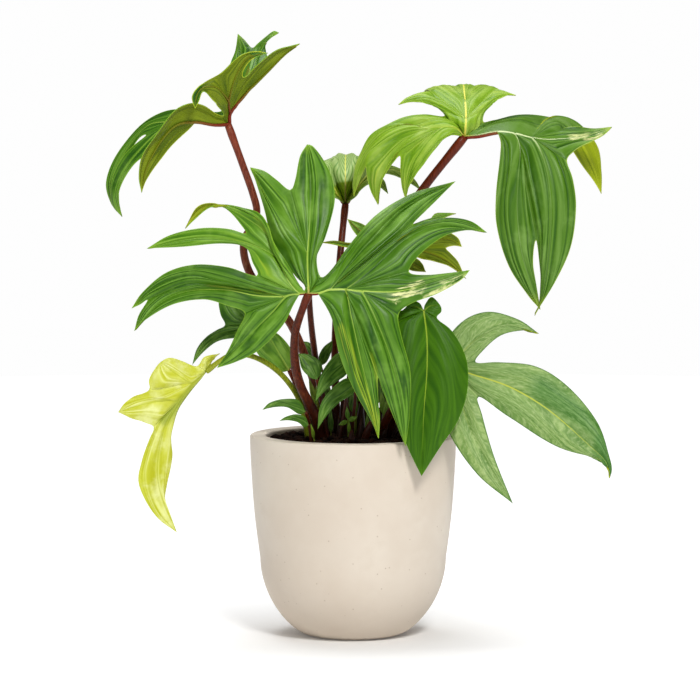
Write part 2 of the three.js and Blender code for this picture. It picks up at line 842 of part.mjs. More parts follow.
// The leaf's outline, cut at its sharp tips into smooth runs. Each finger gets both of its edges,
// each from its notch to its tip.
function edgesOf(leaf, ribs) {
  const last = leaf.fingers.length - 1;
  const marks = [];
  let run = [ribs[0].controls[leaf.start ?? 0]];
  let runs = [run];
  let notch = { run, at: 0 };
  leaf.fingers.forEach((finger, index) => {
    const controls = ribs[index].controls;
    const tip = controls[controls.length - 1];
    run.push(...finger.before.map((point) => leafPoint(leaf, point)), tip);
    const rising = { run, from: notch.at, to: run.length - 1 };
    if (!finger.round) {
      run = [tip];
      runs.push(run);
    }
    const tipAt = run.length - 1;
    run.push(...finger.after.map((point) => leafPoint(leaf, point)));
    run.push(index < last ? leafPoint(leaf, finger.sinus) : controls[finger.end ?? 0]);
    notch = { run, at: run.length - 1 };
    marks.push({ rising, falling: { run, from: notch.at, to: tipAt } });
  });
  const curves = new Map(runs.map((points) => [points, spline(points)]));
  const edge = ({ run: points, from, to }) => {
    return section(curves.get(points), from, to, Math.abs(to - from) * FINE_STEPS);
  };
  return marks.map(({ rising, falling }) => ({ rising: edge(rising), falling: edge(falling) }));
}

// The blade as one sheet of triangles. Each half of a finger is a strip between its rib and its
// edge, and neighbouring fingers meet along the line from their fork to the notch.
function sheetOf(leaf) {
  const ribs = ribsOf(leaf);
  const edges = edgesOf(leaf, ribs);
  const last = leaf.fingers.length - 1;
  const points = [];
  const triangles = [];
  const known = new Map();
  function indexOf(point) {
    const key = point.toArray().map((value) => Math.round(value * 1000)).join();
    if (!known.has(key)) {
      known.set(key, points.length);
      points.push(point);
    }
    return known.get(key);
  }
  function triangle(a, b, c) {
    if (a !== b && b !== c && c !== a) triangles.push([a, b, c]);
  }
  function strip(rib, edge, turned) {
    const rows = rib.map((start, k) => {
      const row = [];
      for (let j = 0; j <= BLADE_STRIPS; j += 1) {
        row.push(indexOf(start.clone().lerp(edge[k], j / BLADE_STRIPS)));
      }
      return row;
    });
    for (let k = 0; k + 1 < rows.length; k += 1) {
      for (let j = 0; j < BLADE_STRIPS; j += 1) {
        const [a, b] = [rows[k][j], rows[k + 1][j]];
        const [d, c] = [rows[k][j + 1], rows[k + 1][j + 1]];
        if (turned) {
          triangle(a, d, c);
          triangle(a, c, b);
        } else {
          triangle(a, b, c);
          triangle(a, c, d);
        }
      }
    }
  }
  function forkBefore(index) {
    const [one, other] = [ribs[index - 1].controls, ribs[index].controls];
    let shared = 0;
    while (one[shared + 1] === other[shared + 1]) shared += 1;
    return shared;
  }
  leaf.fingers.forEach((finger, index) => {
    const rib = ribs[index].line;
    if (index === 0) {
      const own = rib.slice((leaf.start ?? 0) * RIB_STEPS);
      strip(own, evenly(edges[0].rising, own.length - 1), false);
    } else {
      const fork = forkBefore(index) * RIB_STEPS;
      const previous = leaf.fingers[index - 1];
      const inner = [...previous.web ?? [], previous.sinus];
      const web = spline([rib[fork], ...inner.map((point) => leafPoint(leaf, point))]);
      const webLine = section(web, 0, web.points.length - 1, FINE_STEPS);
      const sides = [
        { own: ribs[index - 1].line.slice(fork), edge: edges[index - 1].falling, turned: true },
        { own: rib.slice(fork), edge: edges[index].rising, turned: false },
      ];
      const steps = Math.min(...sides.map(({ own }) => own.length - 1));
      const reach = Math.max(...sides.map(({ edge }) => lengthOf(edge)));
      const share = lengthOf(webLine) / (lengthOf(webLine) + reach);
      const shared = Math.min(Math.round(steps * share), steps - 2);
      sides.forEach(({ own, edge, turned }) => {
        const outer = shared > 0 ? evenly(webLine, shared).slice(0, -1) : [];
        outer.push(...evenly(edge, own.length - 1 - shared));
        strip(own, outer, turned);
      });
    }
    if (index === last) {
      const own = rib.slice((finger.end ?? 0) * RIB_STEPS);
      strip(own, evenly(edges[index].falling, own.length - 1), true);
    }
  });
  return { points, triangles };
}

function geometryFrom(points, triangles) {
  const geometry = new THREE.BufferGeometry();
  const position = points.flatMap((point) => point.toArray());
  geometry.setAttribute('position', new THREE.Float32BufferAttribute(position, 3));
  geometry.setIndex(triangles.flat());
  return geometry;
}

// A closed blade of even thickness round a sheet: the same triangles on both faces, and a rim
function thickened({ points, triangles }, thickness) {
  const sheet = geometryFrom(points, triangles);
  sheet.computeVertexNormals();
  const normals = sheet.getAttribute('normal');
  const count = points.length;
  const offset = (side) => points.map((point, k) => {
    const normal = new THREE.Vector3().fromBufferAttribute(normals, k);
    return point.clone().addScaledVector(normal, (side * thickness) / 2);
  });
  const faces = [];
  const directed = new Set();
  triangles.forEach(([a, b, c]) => {
    faces.push([a, b, c], [a + count, c + count, b + count]);
    directed.add(`${a},${b}`).add(`${b},${c}`).add(`${c},${a}`);
  });
  directed.forEach((name) => {
    const [a, b] = name.split(',').map(Number);
    if (!directed.has(`${b},${a}`)) faces.push([b, a, a + count], [b, a + count, b + count]);
  });
  return geometryFrom([...offset(1), ...offset(-1)], faces);
}

// A tapering round stalk along a smooth route, closed at both ends
function stalkGeometry(route, [footRadius, topRadius], extra) {
  const curve = spline(route);
  const steps = (route.length - 1) * STALK_STEPS;
  const points = [];
  const triangles = [];
  for (let k = 0; k <= steps; k += 1) {
    const centre = curve.getPoint(k / steps);
    const along = curve.getTangent(k / steps);
    const normal = new THREE.Vector3(0, 1, 0).projectOnPlane(along).normalize();
    const binormal = along.clone().cross(normal);
    const radius = footRadius + (topRadius - footRadius) * (k / steps) ** TAPER + extra;
    for (let side = 0; side < STALK_SIDES; side += 1) {
      const angle = (2 * Math.PI * side) / STALK_SIDES;
      const point = centre.clone();
      point.addScaledVector(normal, Math.cos(angle) * radius);
      point.addScaledVector(binormal, Math.sin(angle) * radius);
      points.push(point);
    }
  }
  for (let side = 0; side < STALK_SIDES; side += 1) {
    const next = (side + 1) % STALK_SIDES;
    for (let k = 0; k < steps; k += 1) {
      const [low, high] = [k * STALK_SIDES, (k + 1) * STALK_SIDES];
      triangles.push([low + side, low + next, high + next]);
      triangles.push([low + side, high + next, high + side]);
    }
    const end = steps * STALK_SIDES;
    if (side > 0 && next > 0) {
      triangles.push([0, next, side], [end, end + side, end + next]);
    }
  }
  return geometryFrom(points, triangles);
}

// Solid geometry library, for cuts only
const wasm = await Module();
wasm.setup();

function solidOf(geometry) {
  const bare = geometry.clone();
  bare.deleteAttribute('normal');
  bare.deleteAttribute('uv');
  const merged = mergeVertices(bare, 1e-3);
  return new wasm.Manifold(new wasm.Mesh({
    numProp: 3,
    vertProperties: new Float32Array(merged.getAttribute('position').array),
    triVerts: new Uint32Array(merged.getIndex().array),
  }));
}

function geometryOf(solid) {
  const { vertProperties, triVerts } = solid.getMesh();
  const geometry = new THREE.BufferGeometry();
  geometry.setAttribute('position', new THREE.BufferAttribute(vertProperties, 3));
  geometry.setIndex(new THREE.BufferAttribute(triVerts, 1));
  return geometry;
}

// The largest piece that is left of a geometry when the cutters are taken away
function cut(geometry, cutters) {
  let left = solidOf(geometry);
  cutters.forEach((cutter) => {
    left = left.subtract(solidOf(cutter));
  });
  const pieces = left.decompose();
  return geometryOf(pieces.reduce((a, b) => (a.volume() > b.volume() ? a : b)));
}

// The pot's section, from the middle of the foot round the rim to the middle of the floor
function potProfile() {
  const inner = POT_RADIUS - POT_WALL;
  const path = new THREE.Path();
  path.moveTo(0, 0);
  path.lineTo(FOOT_RADIUS, 0);
  path.bezierCurveTo(FOOT_RADIUS + 19, 2, BELLY_RADIUS, 37, BELLY_RADIUS, BELLY_HEIGHT);
  path.quadraticCurveTo(99.5, 141, POT_RADIUS, POT_HEIGHT - RIM_ROUNDING);
  path.quadraticCurveTo(POT_RADIUS, POT_HEIGHT, POT_RADIUS - RIM_ROUNDING, POT_HEIGHT);
  path.lineTo(inner + RIM_ROUNDING, POT_HEIGHT);
  path.quadraticCurveTo(inner, POT_HEIGHT, inner, POT_HEIGHT - RIM_ROUNDING);
  path.lineTo(BELLY_RADIUS - POT_WALL, BELLY_HEIGHT);
  path.bezierCurveTo(BELLY_RADIUS - POT_WALL - 4, 40, 56, POT_FLOOR, 38, POT_FLOOR);
  path.lineTo(0, POT_FLOOR);
  return path.getPoints(POT_STEPS);
}

function lathe(profile, sides) {
  const geometry = new THREE.LatheGeometry(profile, sides);
  geometry.rotateX(Math.PI / 2);
  return geometry;
}

// The soil fills the pot to just under the rim, clear of its wall, with a lumpy top
function soilGeometry(holes) {
  const inner = POT_RADIUS - POT_WALL - SOIL_CLEARANCE;
  const belly = BELLY_RADIUS - POT_WALL - GAP;
  const profile = [new THREE.Vector2(0, POT_FLOOR + GAP)];
  const bowl = new THREE.CubicBezierCurve(
    new THREE.Vector2(38, POT_FLOOR + GAP),
    new THREE.Vector2(55, POT_FLOOR + GAP),
    new THREE.Vector2(belly - 5, 40),
    new THREE.Vector2(belly, BELLY_HEIGHT),
  );
  profile.push(...bowl.getPoints(POT_STEPS));
  for (let ring = 0; ring <= SOIL_RINGS; ring += 1) {
    profile.push(new THREE.Vector2(inner * (1 - ring / SOIL_RINGS), SOIL_TOP));
  }
  const geometry = lathe(profile, SOIL_SIDES);
  const position = geometry.getAttribute('position');
  for (let k = 0; k < position.count; k += 1) {
    const [x, y, z] = [position.getX(k), position.getY(k), position.getZ(k)];
    const reach = Math.hypot(x, y);
    if (z > SOIL_TOP - 1) {
      const lump = Math.sin(x * 0.31 + y * 0.12) + Math.sin(y * 0.37 - x * 0.17 + 1.3);
      const mound = SOIL_MOUND * Math.cos(Math.min(reach / inner, 1) * Math.PI * 0.5);
      position.setZ(k, SOIL_TOP + mound + (reach < inner - 1 ? SOIL_LUMP * lump * 0.5 : 0));
    }
  }
  return cut(geometry, holes);
}

// A stalk's route from its root end in the soil up to its leaf
function routeOf(stalk) {
  const [x, y] = stalk.foot;
  const root = new THREE.Vector3(x, y, SOIL_TOP - ROOT_DEPTH);
  const collar = new THREE.Vector3(x, y, SOIL_TOP);
  return [root, collar, ...stalk.route.map((point) => placed(...point))];
}

function holeOf(stalk) {
  const route = routeOf(stalk).slice(0, 3);
  const [footRadius] = stalk.radii;
  route[0] = route[0].clone().setZ(SOIL_TOP - ROOT_DEPTH - GAP);
  return stalkGeometry(route, [footRadius, footRadius], GAP);
}

function piece(name, geometry, colour, roughness) {
  const material = new THREE.MeshStandardMaterial({ color: colour, roughness, metalness: 0 });
  const mesh = new THREE.Mesh(geometry, material);
  mesh.name = name;
  return mesh;
}

const plant = new THREE.Group();
plant.add(piece('pot', lathe(potProfile(), POT_SIDES), COLOURS.pot, 0.6));
plant.add(piece('soil', soilGeometry(Object.values(STALKS).map(holeOf)), COLOURS.soil, 0.95));
Object.entries(LEAVES).forEach(([name, leaf]) => {
  const sheet = sheetOf(leaf);
  const colour = { lime: COLOURS.lime, pale: COLOURS.pale }[name] ?? COLOURS.leaf;
  plant.add(piece(`blade_${name}`, thickened(sheet, BLADE), colour, 0.4));
});
Object.entries(STALKS).forEach(([name, stalk]) => {
  const geometry = stalkGeometry(routeOf(stalk), stalk.radii, 0);
  const leaf = LEAVES[name];
  const cutters = leaf ? [thickened(sheetOf(leaf), BLADE + 2 * GAP)] : [];
  const colour = name === 'lime' ? COLOURS.youngStalk : COLOURS.stalk;
  plant.add(piece(`stalk_${name}`, cut(geometry, cutters), colour, 0.5));
});

export default plant;
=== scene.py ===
# %% [markdown]
# # A potted florida ghost philodendron
# This notebook dresses the solids of a potted plant. The plant has fingered leaves on red-brown
# stalks, and it stands in soil in a pot of cream concrete. The solids already have the right
# places and sizes, and most pieces that are made here take the place of one of them.
#
# Lengths are worked out in millimetres and become metres when a mesh is finished.

# %% The frame
import math
import random

import bmesh
import bpy
import numpy as np
from mathutils import Matrix, Vector, bvhtree, kdtree, noise


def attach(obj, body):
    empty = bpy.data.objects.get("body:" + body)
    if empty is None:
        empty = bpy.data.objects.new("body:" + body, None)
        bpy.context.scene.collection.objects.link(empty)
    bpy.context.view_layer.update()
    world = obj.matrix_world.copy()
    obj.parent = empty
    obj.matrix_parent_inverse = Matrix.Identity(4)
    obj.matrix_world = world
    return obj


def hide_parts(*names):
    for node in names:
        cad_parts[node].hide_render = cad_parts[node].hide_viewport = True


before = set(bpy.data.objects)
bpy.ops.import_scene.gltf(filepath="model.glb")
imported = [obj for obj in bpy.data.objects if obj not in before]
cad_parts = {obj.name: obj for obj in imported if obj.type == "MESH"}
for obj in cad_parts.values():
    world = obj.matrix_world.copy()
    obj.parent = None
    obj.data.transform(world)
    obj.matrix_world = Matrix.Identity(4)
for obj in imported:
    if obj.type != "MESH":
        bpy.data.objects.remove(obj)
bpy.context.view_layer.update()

# %% [markdown]
# ## Camera
# The picture is taken from some distance with a long lens, a little above the rim of the pot, so
# the rim shows as a thin ellipse. The same eye point is used again below to place the leaves.

# %% Camera
EYE = np.array([-3.0, -3500.0, 550.0])
LOOK_DOWN = 4.46
LENS = 186.3
MM = 0.001

lens = bpy.data.cameras.new("camera")
lens.lens = LENS
lens.sensor_width = 36
lens.clip_end = 50
camera = bpy.data.objects.new("camera", lens)
camera.location = Vector(EYE) * MM
camera.rotation_euler = (math.radians(90 - LOOK_DOWN), 0, 0)
bpy.context.scene.collection.objects.link(camera)
bpy.context.scene.camera = camera
print("camera at", [round(v, 3) for v in camera.location])

# %% [markdown]
# ## Floor and light
# The plant is shown on a white floor in a white room. The floor is a wide disc. Away from the
# plant it glows by itself and melts into the room, so no edge shows from any side. The room is
# the world: white at the height of the horizon and much darker above, so that the lamps can model
# the leaves. Large lamps give soft shadows: the key lamp stands high at the right front, a wide
# one hangs above and a weak one fills the left.

# %% Floor
FLOOR_RADIUS = 3.0

floor_mesh = bmesh.new()
bmesh.ops.create_circle(floor_mesh, cap_ends=True, segments=96, radius=FLOOR_RADIUS)
floor_data = bpy.data.meshes.new("floor")
floor_mesh.to_mesh(floor_data)
floor_mesh.free()
floor = bpy.data.objects.new("floor", floor_data)
bpy.context.scene.collection.objects.link(floor)
print("floor", len(floor_data.vertices), "corners")

# %% Room and lamps
HORIZON_LIGHT = 0.99
SKY_LIGHT = 0.17
HORIZON_BAND = (0.03, 0.14)

world = bpy.data.worlds.new("white_room")
world.use_nodes = True
room = world.node_tree
backdrop = room.nodes["Background"]
backdrop.inputs["Color"].default_value = (1.0, 1.0, 1.0, 1)
direction = room.nodes.new("ShaderNodeTexCoord")
upward = room.nodes.new("ShaderNodeSeparateXYZ")
falloff = room.nodes.new("ShaderNodeMapRange")
falloff.interpolation_type = "SMOOTHSTEP"
for number, value in enumerate((*HORIZON_BAND, HORIZON_LIGHT, SKY_LIGHT), start=1):
    falloff.inputs[number].default_value = value
room.links.new(direction.outputs["Generated"], upward.inputs[0])
room.links.new(upward.outputs["Z"], falloff.inputs[0])
room.links.new(falloff.outputs[0], backdrop.inputs["Strength"])
bpy.context.scene.world = world


def lamp(name, place, aim, size, watts, tint):
    light = bpy.data.lights.new(name, "AREA")
    light.shape = "DISK"
    light.size = size
    light.energy = watts
    light.color = tint
    holder = bpy.data.objects.new(name, light)
    holder.location = place
    holder.rotation_euler = (Vector(aim) - Vector(place)).to_track_quat("-Z", "Y").to_euler()
    bpy.context.scene.collection.objects.link(holder)


lamp("key", (0.7, -2.5, 2.35), (0, 0, 0.3), 0.8, 74, (1.0, 0.99, 0.97))
lamp("top", (-0.3, 0.5, 2.7), (0, 0, 0.2), 1.6, 42, (1.0, 0.995, 0.99))
lamp("fill", (-2.3, -1.8, 1.4), (0, 0, 0.3), 1.8, 3, (0.98, 0.99, 1.0))
bpy.context.scene.view_settings.view_transform = "Standard"

# %% [markdown]
# ## Writing finishes as sums
# A finish is a small network of shader nodes. Long networks are hard to read, so a `Signal` wraps
# one output of a node and takes part in sums: `1 - mask` or `noise * 0.4 + 0.3` add the Math
# nodes by themselves. A `Finish` makes the nodes. Its one method `node` takes the type of a node,
# then its settings, then what goes into its sockets.

# %% Signal and Finish
class Signal:
    def __init__(self, finish, socket):
        self.finish = finish
        self.socket = socket

    def math(self, operation, *values):
        sockets = dict(enumerate(values))
        return self.finish.node("ShaderNodeMath", {"operation": operation}, sockets)

    def __add__(self, other):
        return self.math("ADD", self, other)

    def __sub__(self, other):
        return self.math("SUBTRACT", self, other)

    def __mul__(self, other):
        return self.math("MULTIPLY", self, other)

    def __truediv__(self, other):
        return self.math("DIVIDE", self, other)

    def __rsub__(self, other):
        return self.math("SUBTRACT", other, self)

    def __rtruediv__(self, other):
        return self.math("DIVIDE", other, self)

    __radd__ = __add__
    __rmul__ = __mul__

    def clamp(self):
        return self.math("MINIMUM", self.math("MAXIMUM", self, 0.0), 1.0)

    def ridges(self):
        """0 at every whole number and 1 half way between them, like rounded ridges."""
        return self.math("ABSOLUTE", self.math("SINE", self * math.pi))

    def fade(self, low, high):
        """0 below low, 1 above high and a soft step between them."""
        settings = {"interpolation_type": "SMOOTHSTEP"}
        return self.finish.node("ShaderNodeMapRange", settings, {0: self, 1: low, 2: high})


class Finish:
    def __init__(self, name):
        self.material = bpy.data.materials.new(name)
        self.material.use_nodes = True
        self.tree = self.material.node_tree
        self.shader = self.tree.nodes["Principled BSDF"]

    def node(self, kind, settings=None, sockets=None, output=0):
        made = self.tree.nodes.new(kind)
        for key, value in (settings or {}).items():
            setattr(made, key, value)
        for key, value in (sockets or {}).items():
            self.plug(made.inputs[key], value)
        return Signal(self, made.outputs[output])

    def plug(self, socket, value):
        if isinstance(value, Signal):
            self.tree.links.new(value.socket, socket)
        else:
            socket.default_value = value

    def attribute(self, name):
        return self.node("ShaderNodeAttribute", {"attribute_name": name}, output="Fac")

    def place(self):
        return self.node("ShaderNodeTexCoord", output="Object")

    def mix(self, factor, first, second):
        """A colour between two: first where factor is 0, second where it is 1."""
        sockets = {0: factor, 6: colour(first), 7: colour(second)}
        return self.node("ShaderNodeMix", {"data_type": "RGBA"}, sockets, output=2)

    def vector(self, x, y, z):
        return self.node("ShaderNodeCombineXYZ", None, {0: x, 1: y, 2: z})

    def grain(self, where, scale, detail=3.0, rough=0.5):
        sockets = {"Vector": where, "Scale": scale, "Detail": detail, "Roughness": rough}
        return self.node("ShaderNodeTexNoise", None, sockets)

    def bump(self, height, distance, strength):
        sockets = {"Height": height, "Distance": distance, "Strength": strength}
        self.set(Normal=self.node("ShaderNodeBump", None, sockets))

    def set(self, **values):
        for key, value in values.items():
            self.plug(self.shader.inputs[key.replace("_", " ")], value)


def colour(value):
    """A colour written as red, green and blue from 0 to 255 on screen, as a shader takes it."""
    if isinstance(value, Signal):
        return value
    linear = [((v / 255 + 0.055) / 1.055) ** 2.4 if v > 10 else v / 255 / 12.92 for v in value]
    return (*linear, 1.0)


print("mid grey on screen is", round(colour((128, 128, 128))[0], 3), "in a shader")

# %% Floor finish
FADE_RADIUS = 0.35

floor_finish = Finish("white_floor")
centre_gap = {0: floor_finish.place()}
gap = floor_finish.node("ShaderNodeVectorMath", {"operation": "LENGTH"}, centre_gap, "Value")
away = gap.fade(0.0, FADE_RADIUS)
floor_finish.set(
    Base_Color=floor_finish.mix(away, (250, 250, 250), (120, 120, 120)), Roughness=0.9,
    Emission_Color=floor_finish.mix(away, (0, 0, 0), (255, 255, 255)), Emission_Strength=1.0,
)
floor_data.materials.append(floor_finish.material)
print("floor finish", len(floor_finish.tree.nodes), "nodes")

# %% [markdown]
# ## Leaves: where the points lie
# Each leaf is described by a few given points. A finger of a leaf has a rib from the
# junction with the stalk to its tip, the points of its edge before and after the tip, and the
# notch, or sinus, to the next finger. A point is [across, up, out]: where it is seen on the
# upright plane through the pot's axis, and how far it is in front of (-) or behind (+) the leaf's
# own bowed surface. Nearly the same points shape the solids, so each blade lies on its solid.
#
# `fork` names the finger whose rib this one grows from, and how many of its points they share.
# `web` adds points between a fork and its notch, and a `round` finger has a blunt tip. `start` and
# `end` give the rib point where the outline leaves the first finger and comes back to the last.
# `bend` is the surface of a leaf: how far it runs back for each millimetre across and up, and how
# far it is bowed 100 mm away.

# %% Leaves and fingers
LEAVES = {}


def add_leaf(name, junction, **more):
    LEAVES[name] = {"junction": junction, "fingers": [], **more}


def add_finger(**points):
    """Adds a finger to the newest leaf."""
    newest = list(LEAVES.values())[-1]
    newest["fingers"].append(points)


def count_fingers(*names):
    print({name: len(LEAVES[name]["fingers"]) for name in names}, "fingers")


print("leaves so far", len(LEAVES))

# %% Upper left leaf, its underside to the front
add_leaf("upper_left", [-121, 496, 10])
add_finger(
    rib=[[-134.5, 503.5, 25], [-151.5, 506, 42], [-175, 498.5, 50], [-198, 479, 50],
         [-219.5, 453, 46], [-229, 428, 42], [-223.5, 406, 38]],
    before=[[-132.5, 498.5, 22], [-148, 498.5, 36], [-169, 486, 44], [-196, 468.5, 44],
            [-213.5, 455, 42], [-226.5, 430, 40]],
    after=[[-233, 418.5, 46], [-233, 441.5, 50], [-221.5, 465.5, 54]], sinus=[-200, 484.5, 55],
)
add_finger(
    fork=(0, 3),
    rib=[[-196, 495.5, 58], [-212.5, 479, 62], [-226, 459, 62], [-233, 434, 58], [-226, 409, 52]],
    before=[[-208, 481, 56], [-219, 463, 54], [-226, 436, 50]],
    after=[[-234.5, 420, 58], [-238.5, 440, 62], [-228, 467, 66], [-206, 493.5, 64],
           [-181.5, 508, 56], [-157.5, 510, 44]],
    sinus=[-127.5, 508, 20],
)
add_finger(
    fork=(4, 2), rib=[[-107, 545.5, 52], [-108, 566.5, 60], [-111, 582.5, 62]],
    before=[[-123.5, 526.5, 36], [-119, 551.5, 54], [-113.5, 566.5, 62]],
    after=[[-104.5, 576.5, 62], [-98.5, 569.5, 60]], sinus=[-95.5, 569.5, 58],
)
add_finger(
    fork=(4, 3), rib=[[-92, 562, 50], [-86, 573.5, 56], [-81, 580, 58], [-71.5, 583.5, 58]],
    before=[[-92, 573, 58], [-83.5, 580, 60], [-76.5, 585, 60]],
    after=[[-80, 577.5, 56], [-85, 570.5, 54]], sinus=[-82, 559, 42],
)
add_finger(
    rib=[[-120, 506, 8], [-112.5, 516, 8], [-100.5, 529.5, 9], [-82, 547.5, 10], [-66, 563, 10],
         [-51.5, 573, 8]],
    before=[[-71.5, 566, 22]], after=[[-60, 571, 4], [-73, 567, -2], [-88, 557, -4]],
    sinus=[-103.5, 541.5, -6],
)
add_finger(
    fork=(4, 1),
    rib=[[-120.5, 516, -2], [-117.5, 529.5, -10], [-112, 544.5, -16], [-103.5, 558, -18],
         [-92.5, 562.5, -16], [-82, 564, -12]],
    before=[[-106.5, 545.5, -12], [-99.5, 556, -16], [-90, 561.5, -14]],
    after=[[-93.5, 565.5, -18], [-105.5, 563.5, -20], [-115, 556.5, -22]], sinus=[-128, 544.5, -22],
)
add_finger(
    fork=(5, 2),
    rib=[[-130.5, 530, -22], [-143, 531, -30], [-150.5, 523.5, -34], [-152.5, 509.5, -34]],
    before=[[-141, 537, -26], [-150, 531, -34], [-155.5, 521.5, -37]],
    after=[[-148.5, 517.5, -36], [-144, 526.5, -33], [-134.5, 517.5, -22]], sinus=[-125, 504.5],
)
add_finger(
    rib=[[-134, 495, -2], [-151.5, 498, -8], [-168, 496.5, -14], [-180, 487.5, -18],
         [-192.5, 469.5, -20], [-201.5, 449.5, -20], [-204.5, 429.5, -18]],
    before=[[-132.5, 506, -6], [-144, 513.5, -14], [-157.5, 516, -22], [-172, 509, -30],
            [-186.5, 490, -34], [-202.5, 468.5, -32], [-207, 445.5, -26]],
    after=[[-199, 443, -16], [-181.5, 467.5, -10], [-159.5, 490, -4]], end=2,
)
count_fingers("upper_left")

# %% Upper right leaf, spread and drooping, its top face up
add_leaf("upper_right", [107.5, 483.5, 12])
add_finger(
    rib=[[103.5, 489, 4], [98, 492.5], [86.5, 492.5], [73, 482, -4], [59.5, 463, -8],
         [52.5, 443.5, -8], [50.5, 423, -4]],
    before=[[90.5, 483, -2], [69.5, 458.5, -10], [55.5, 438, -8]],
    after=[[47, 435, -6], [45.5, 450.5, -6]], sinus=[45, 465, -4],
)
add_finger(
    fork=(0, 3),
    rib=[[74, 491.5, 2], [54.5, 482, 2], [36.5, 461], [26.5, 439.5, -2], [24, 417.5, -2]],
    before=[[35.5, 454, -2], [27, 438, -4]], after=[[17, 431, -1], [13.5, 444.5, 1]],
    web=[[42, 478.5, 6]], sinus=[12, 455, 2],
)
add_finger(
    fork=(1, 4),
    rib=[[55.5, 494.5, 10], [33.5, 488, 12], [15, 470.5, 12], [4, 447.5, 10], [0.5, 426, 8]],
    before=[[7, 442.5, 8]],
    after=[[-0.5, 441.5, 14], [5, 464, 18], [18, 486, 22], [43.5, 500.5, 24], [68, 504.5, 22]],
    sinus=[88, 503.5, 22],
)
add_finger(
    fork=(5, 2), rib=[[93, 512, 22], [76, 520.5, 34], [57.5, 521, 38], [43.5, 514.5, 36]],
    before=[[76, 513.5, 26], [59.5, 517, 34]], after=[[52.5, 521.5, 42], [68, 526, 48]],
    sinus=[75, 528, 56],
)
add_finger(
    fork=(5, 3), rib=[[95, 528.5, 58], [83.5, 531.5, 76], [74, 525.5, 92]],
    before=[[70, 528, 72], [68, 525.5, 84]], after=[[83.5, 530, 100]], web=[[100, 531.5, 64]],
    sinus=[93, 530, 104],
)
add_finger(
    rib=[[108.5, 492.5, 2], [109, 500.5, 8], [108, 517.5, 30], [106.5, 532.5, 62], [106, 532, 100],
         [105.5, 521.5, 134]],
    before=[[95, 526.5, 126]], after=[[116.5, 526.5, 126]], web=[[114.5, 531.5, 64]],
    sinus=[122, 530, 104],
)
add_finger(
    fork=(5, 3), rib=[[121, 529, 58], [131.5, 531.5, 76], [141.5, 525.5, 92]],
    before=[[130, 530, 98]], after=[[146, 525.5, 82], [141.5, 529, 70]], sinus=[139, 529.5, 54],
)
add_finger(
    fork=(5, 2), rib=[[122, 515, 22], [136.5, 524, 34], [157, 523.5, 36]],
    before=[[148, 526.5, 44]], after=[[147.5, 523, 32], [136.5, 516.5, 24], [127.5, 507, 20]],
    sinus=[126, 497.5, 18],
)
add_finger(
    fork=(9, 4),
    rib=[[185, 499.5, 56], [205, 499.5, 76], [224.5, 480, 84], [235, 455, 84], [240, 428.5, 80]],
    before=[[137, 500, 32], [158.5, 504, 52], [185, 503.5, 76], [215.5, 497.5, 96],
            [235, 475.5, 98], [240, 449.5, 90]],
    after=[[230.5, 443.5, 78], [219, 459, 68], [207, 478.5, 56]], sinus=[201.5, 490, 40],
)
add_finger(
    rib=[[120.5, 485, 10], [139, 488.5, 8], [155.5, 487, 6], [172, 483, 8], [188.5, 481, 14],
         [214, 482.5, 22], [235, 485.5, 28], [249.5, 493, 32]],
    before=[[214, 493.5, 36], [233, 491.5, 38]],
    after=[[241, 484.5, 24], [227.5, 478, 14], [214, 470, 6]], sinus=[206.5, 460.5, -2],
)
add_finger(
    fork=(9, 4),
    rib=[[181.5, 468.5, -2], [188, 445.5, -10], [191, 414.5, -14], [189.5, 374, -14],
         [184, 332.5, -10], [175.5, 310.5, -8]],
    before=[[212.5, 441.5, -8], [215.5, 414.5, -12], [210.5, 377, -14], [196, 344, -12]],
    after=[[180, 322.5, -6], [181, 350, -7]], sinus=[177, 383.5, -10],
)
add_finger(
    fork=(9, 3),
    rib=[[161.5, 472.5], [159.5, 445.5, -6], [158.5, 410.5, -10], [163, 372, -10], [174, 337, -3],
         [181.5, 316, 4]],
    before=[[174, 362.5, -5], [177.5, 340, -1]],
    after=[[169, 330.5, -2], [150.5, 358.5, -8], [139, 395.5, -12], [138, 427, -10],
           [141.5, 464, -4], [142.5, 478.5]],
    end=2,
)
count_fingers("upper_right")

# %% The large spread leaf at the front
add_leaf("front", [-43, 331.5, -95], bend=(0, 0.25, 8, 12), start=1)
add_finger(
    rib=[[-51.5, 331.5], [-64.5, 329], [-77.5, 314.5], [-92.5, 299.5], [-107.5, 284.5],
         [-132, 259.5]],
    before=[[-58, 320.5], [-69, 299.5], [-92.5, 276], [-113.5, 265.5]],
    after=[[-120.5, 278], [-112, 296.5]], sinus=[-105, 313],
)
add_finger(
    fork=(0, 2), rib=[[-92.5, 330], [-122, 335.5], [-159, 334.5], [-187, 322.5], [-212, 295.5]],
    before=[[-121.5, 320], [-144.5, 326], [-174, 321.5], [-200, 307]], after=[[-207.5, 311]],
    web=[[-127, 339], [-161, 341.5]], sinus=[-199, 325.5],
)
add_finger(
    fork=(1, 2), rib=[[-127, 343.5], [-158, 350], [-190, 340], [-214.5, 317.5]],
    before=[[-206.5, 321]], after=[[-203.5, 333.5], [-181, 352], [-153, 360], [-122, 357.5]],
    sinus=[-93.5, 349],
)
add_finger(
    fork=(4, 3), rib=[[-99.5, 379.5], [-136.5, 386], [-167.5, 383.5], [-199.5, 375.5]],
    before=[[-97.5, 362.5], [-104, 376], [-125, 380.5], [-159, 377.5]],
    after=[[-177, 388.5], [-148.5, 395], [-121, 394.5]], sinus=[-104, 390],
)
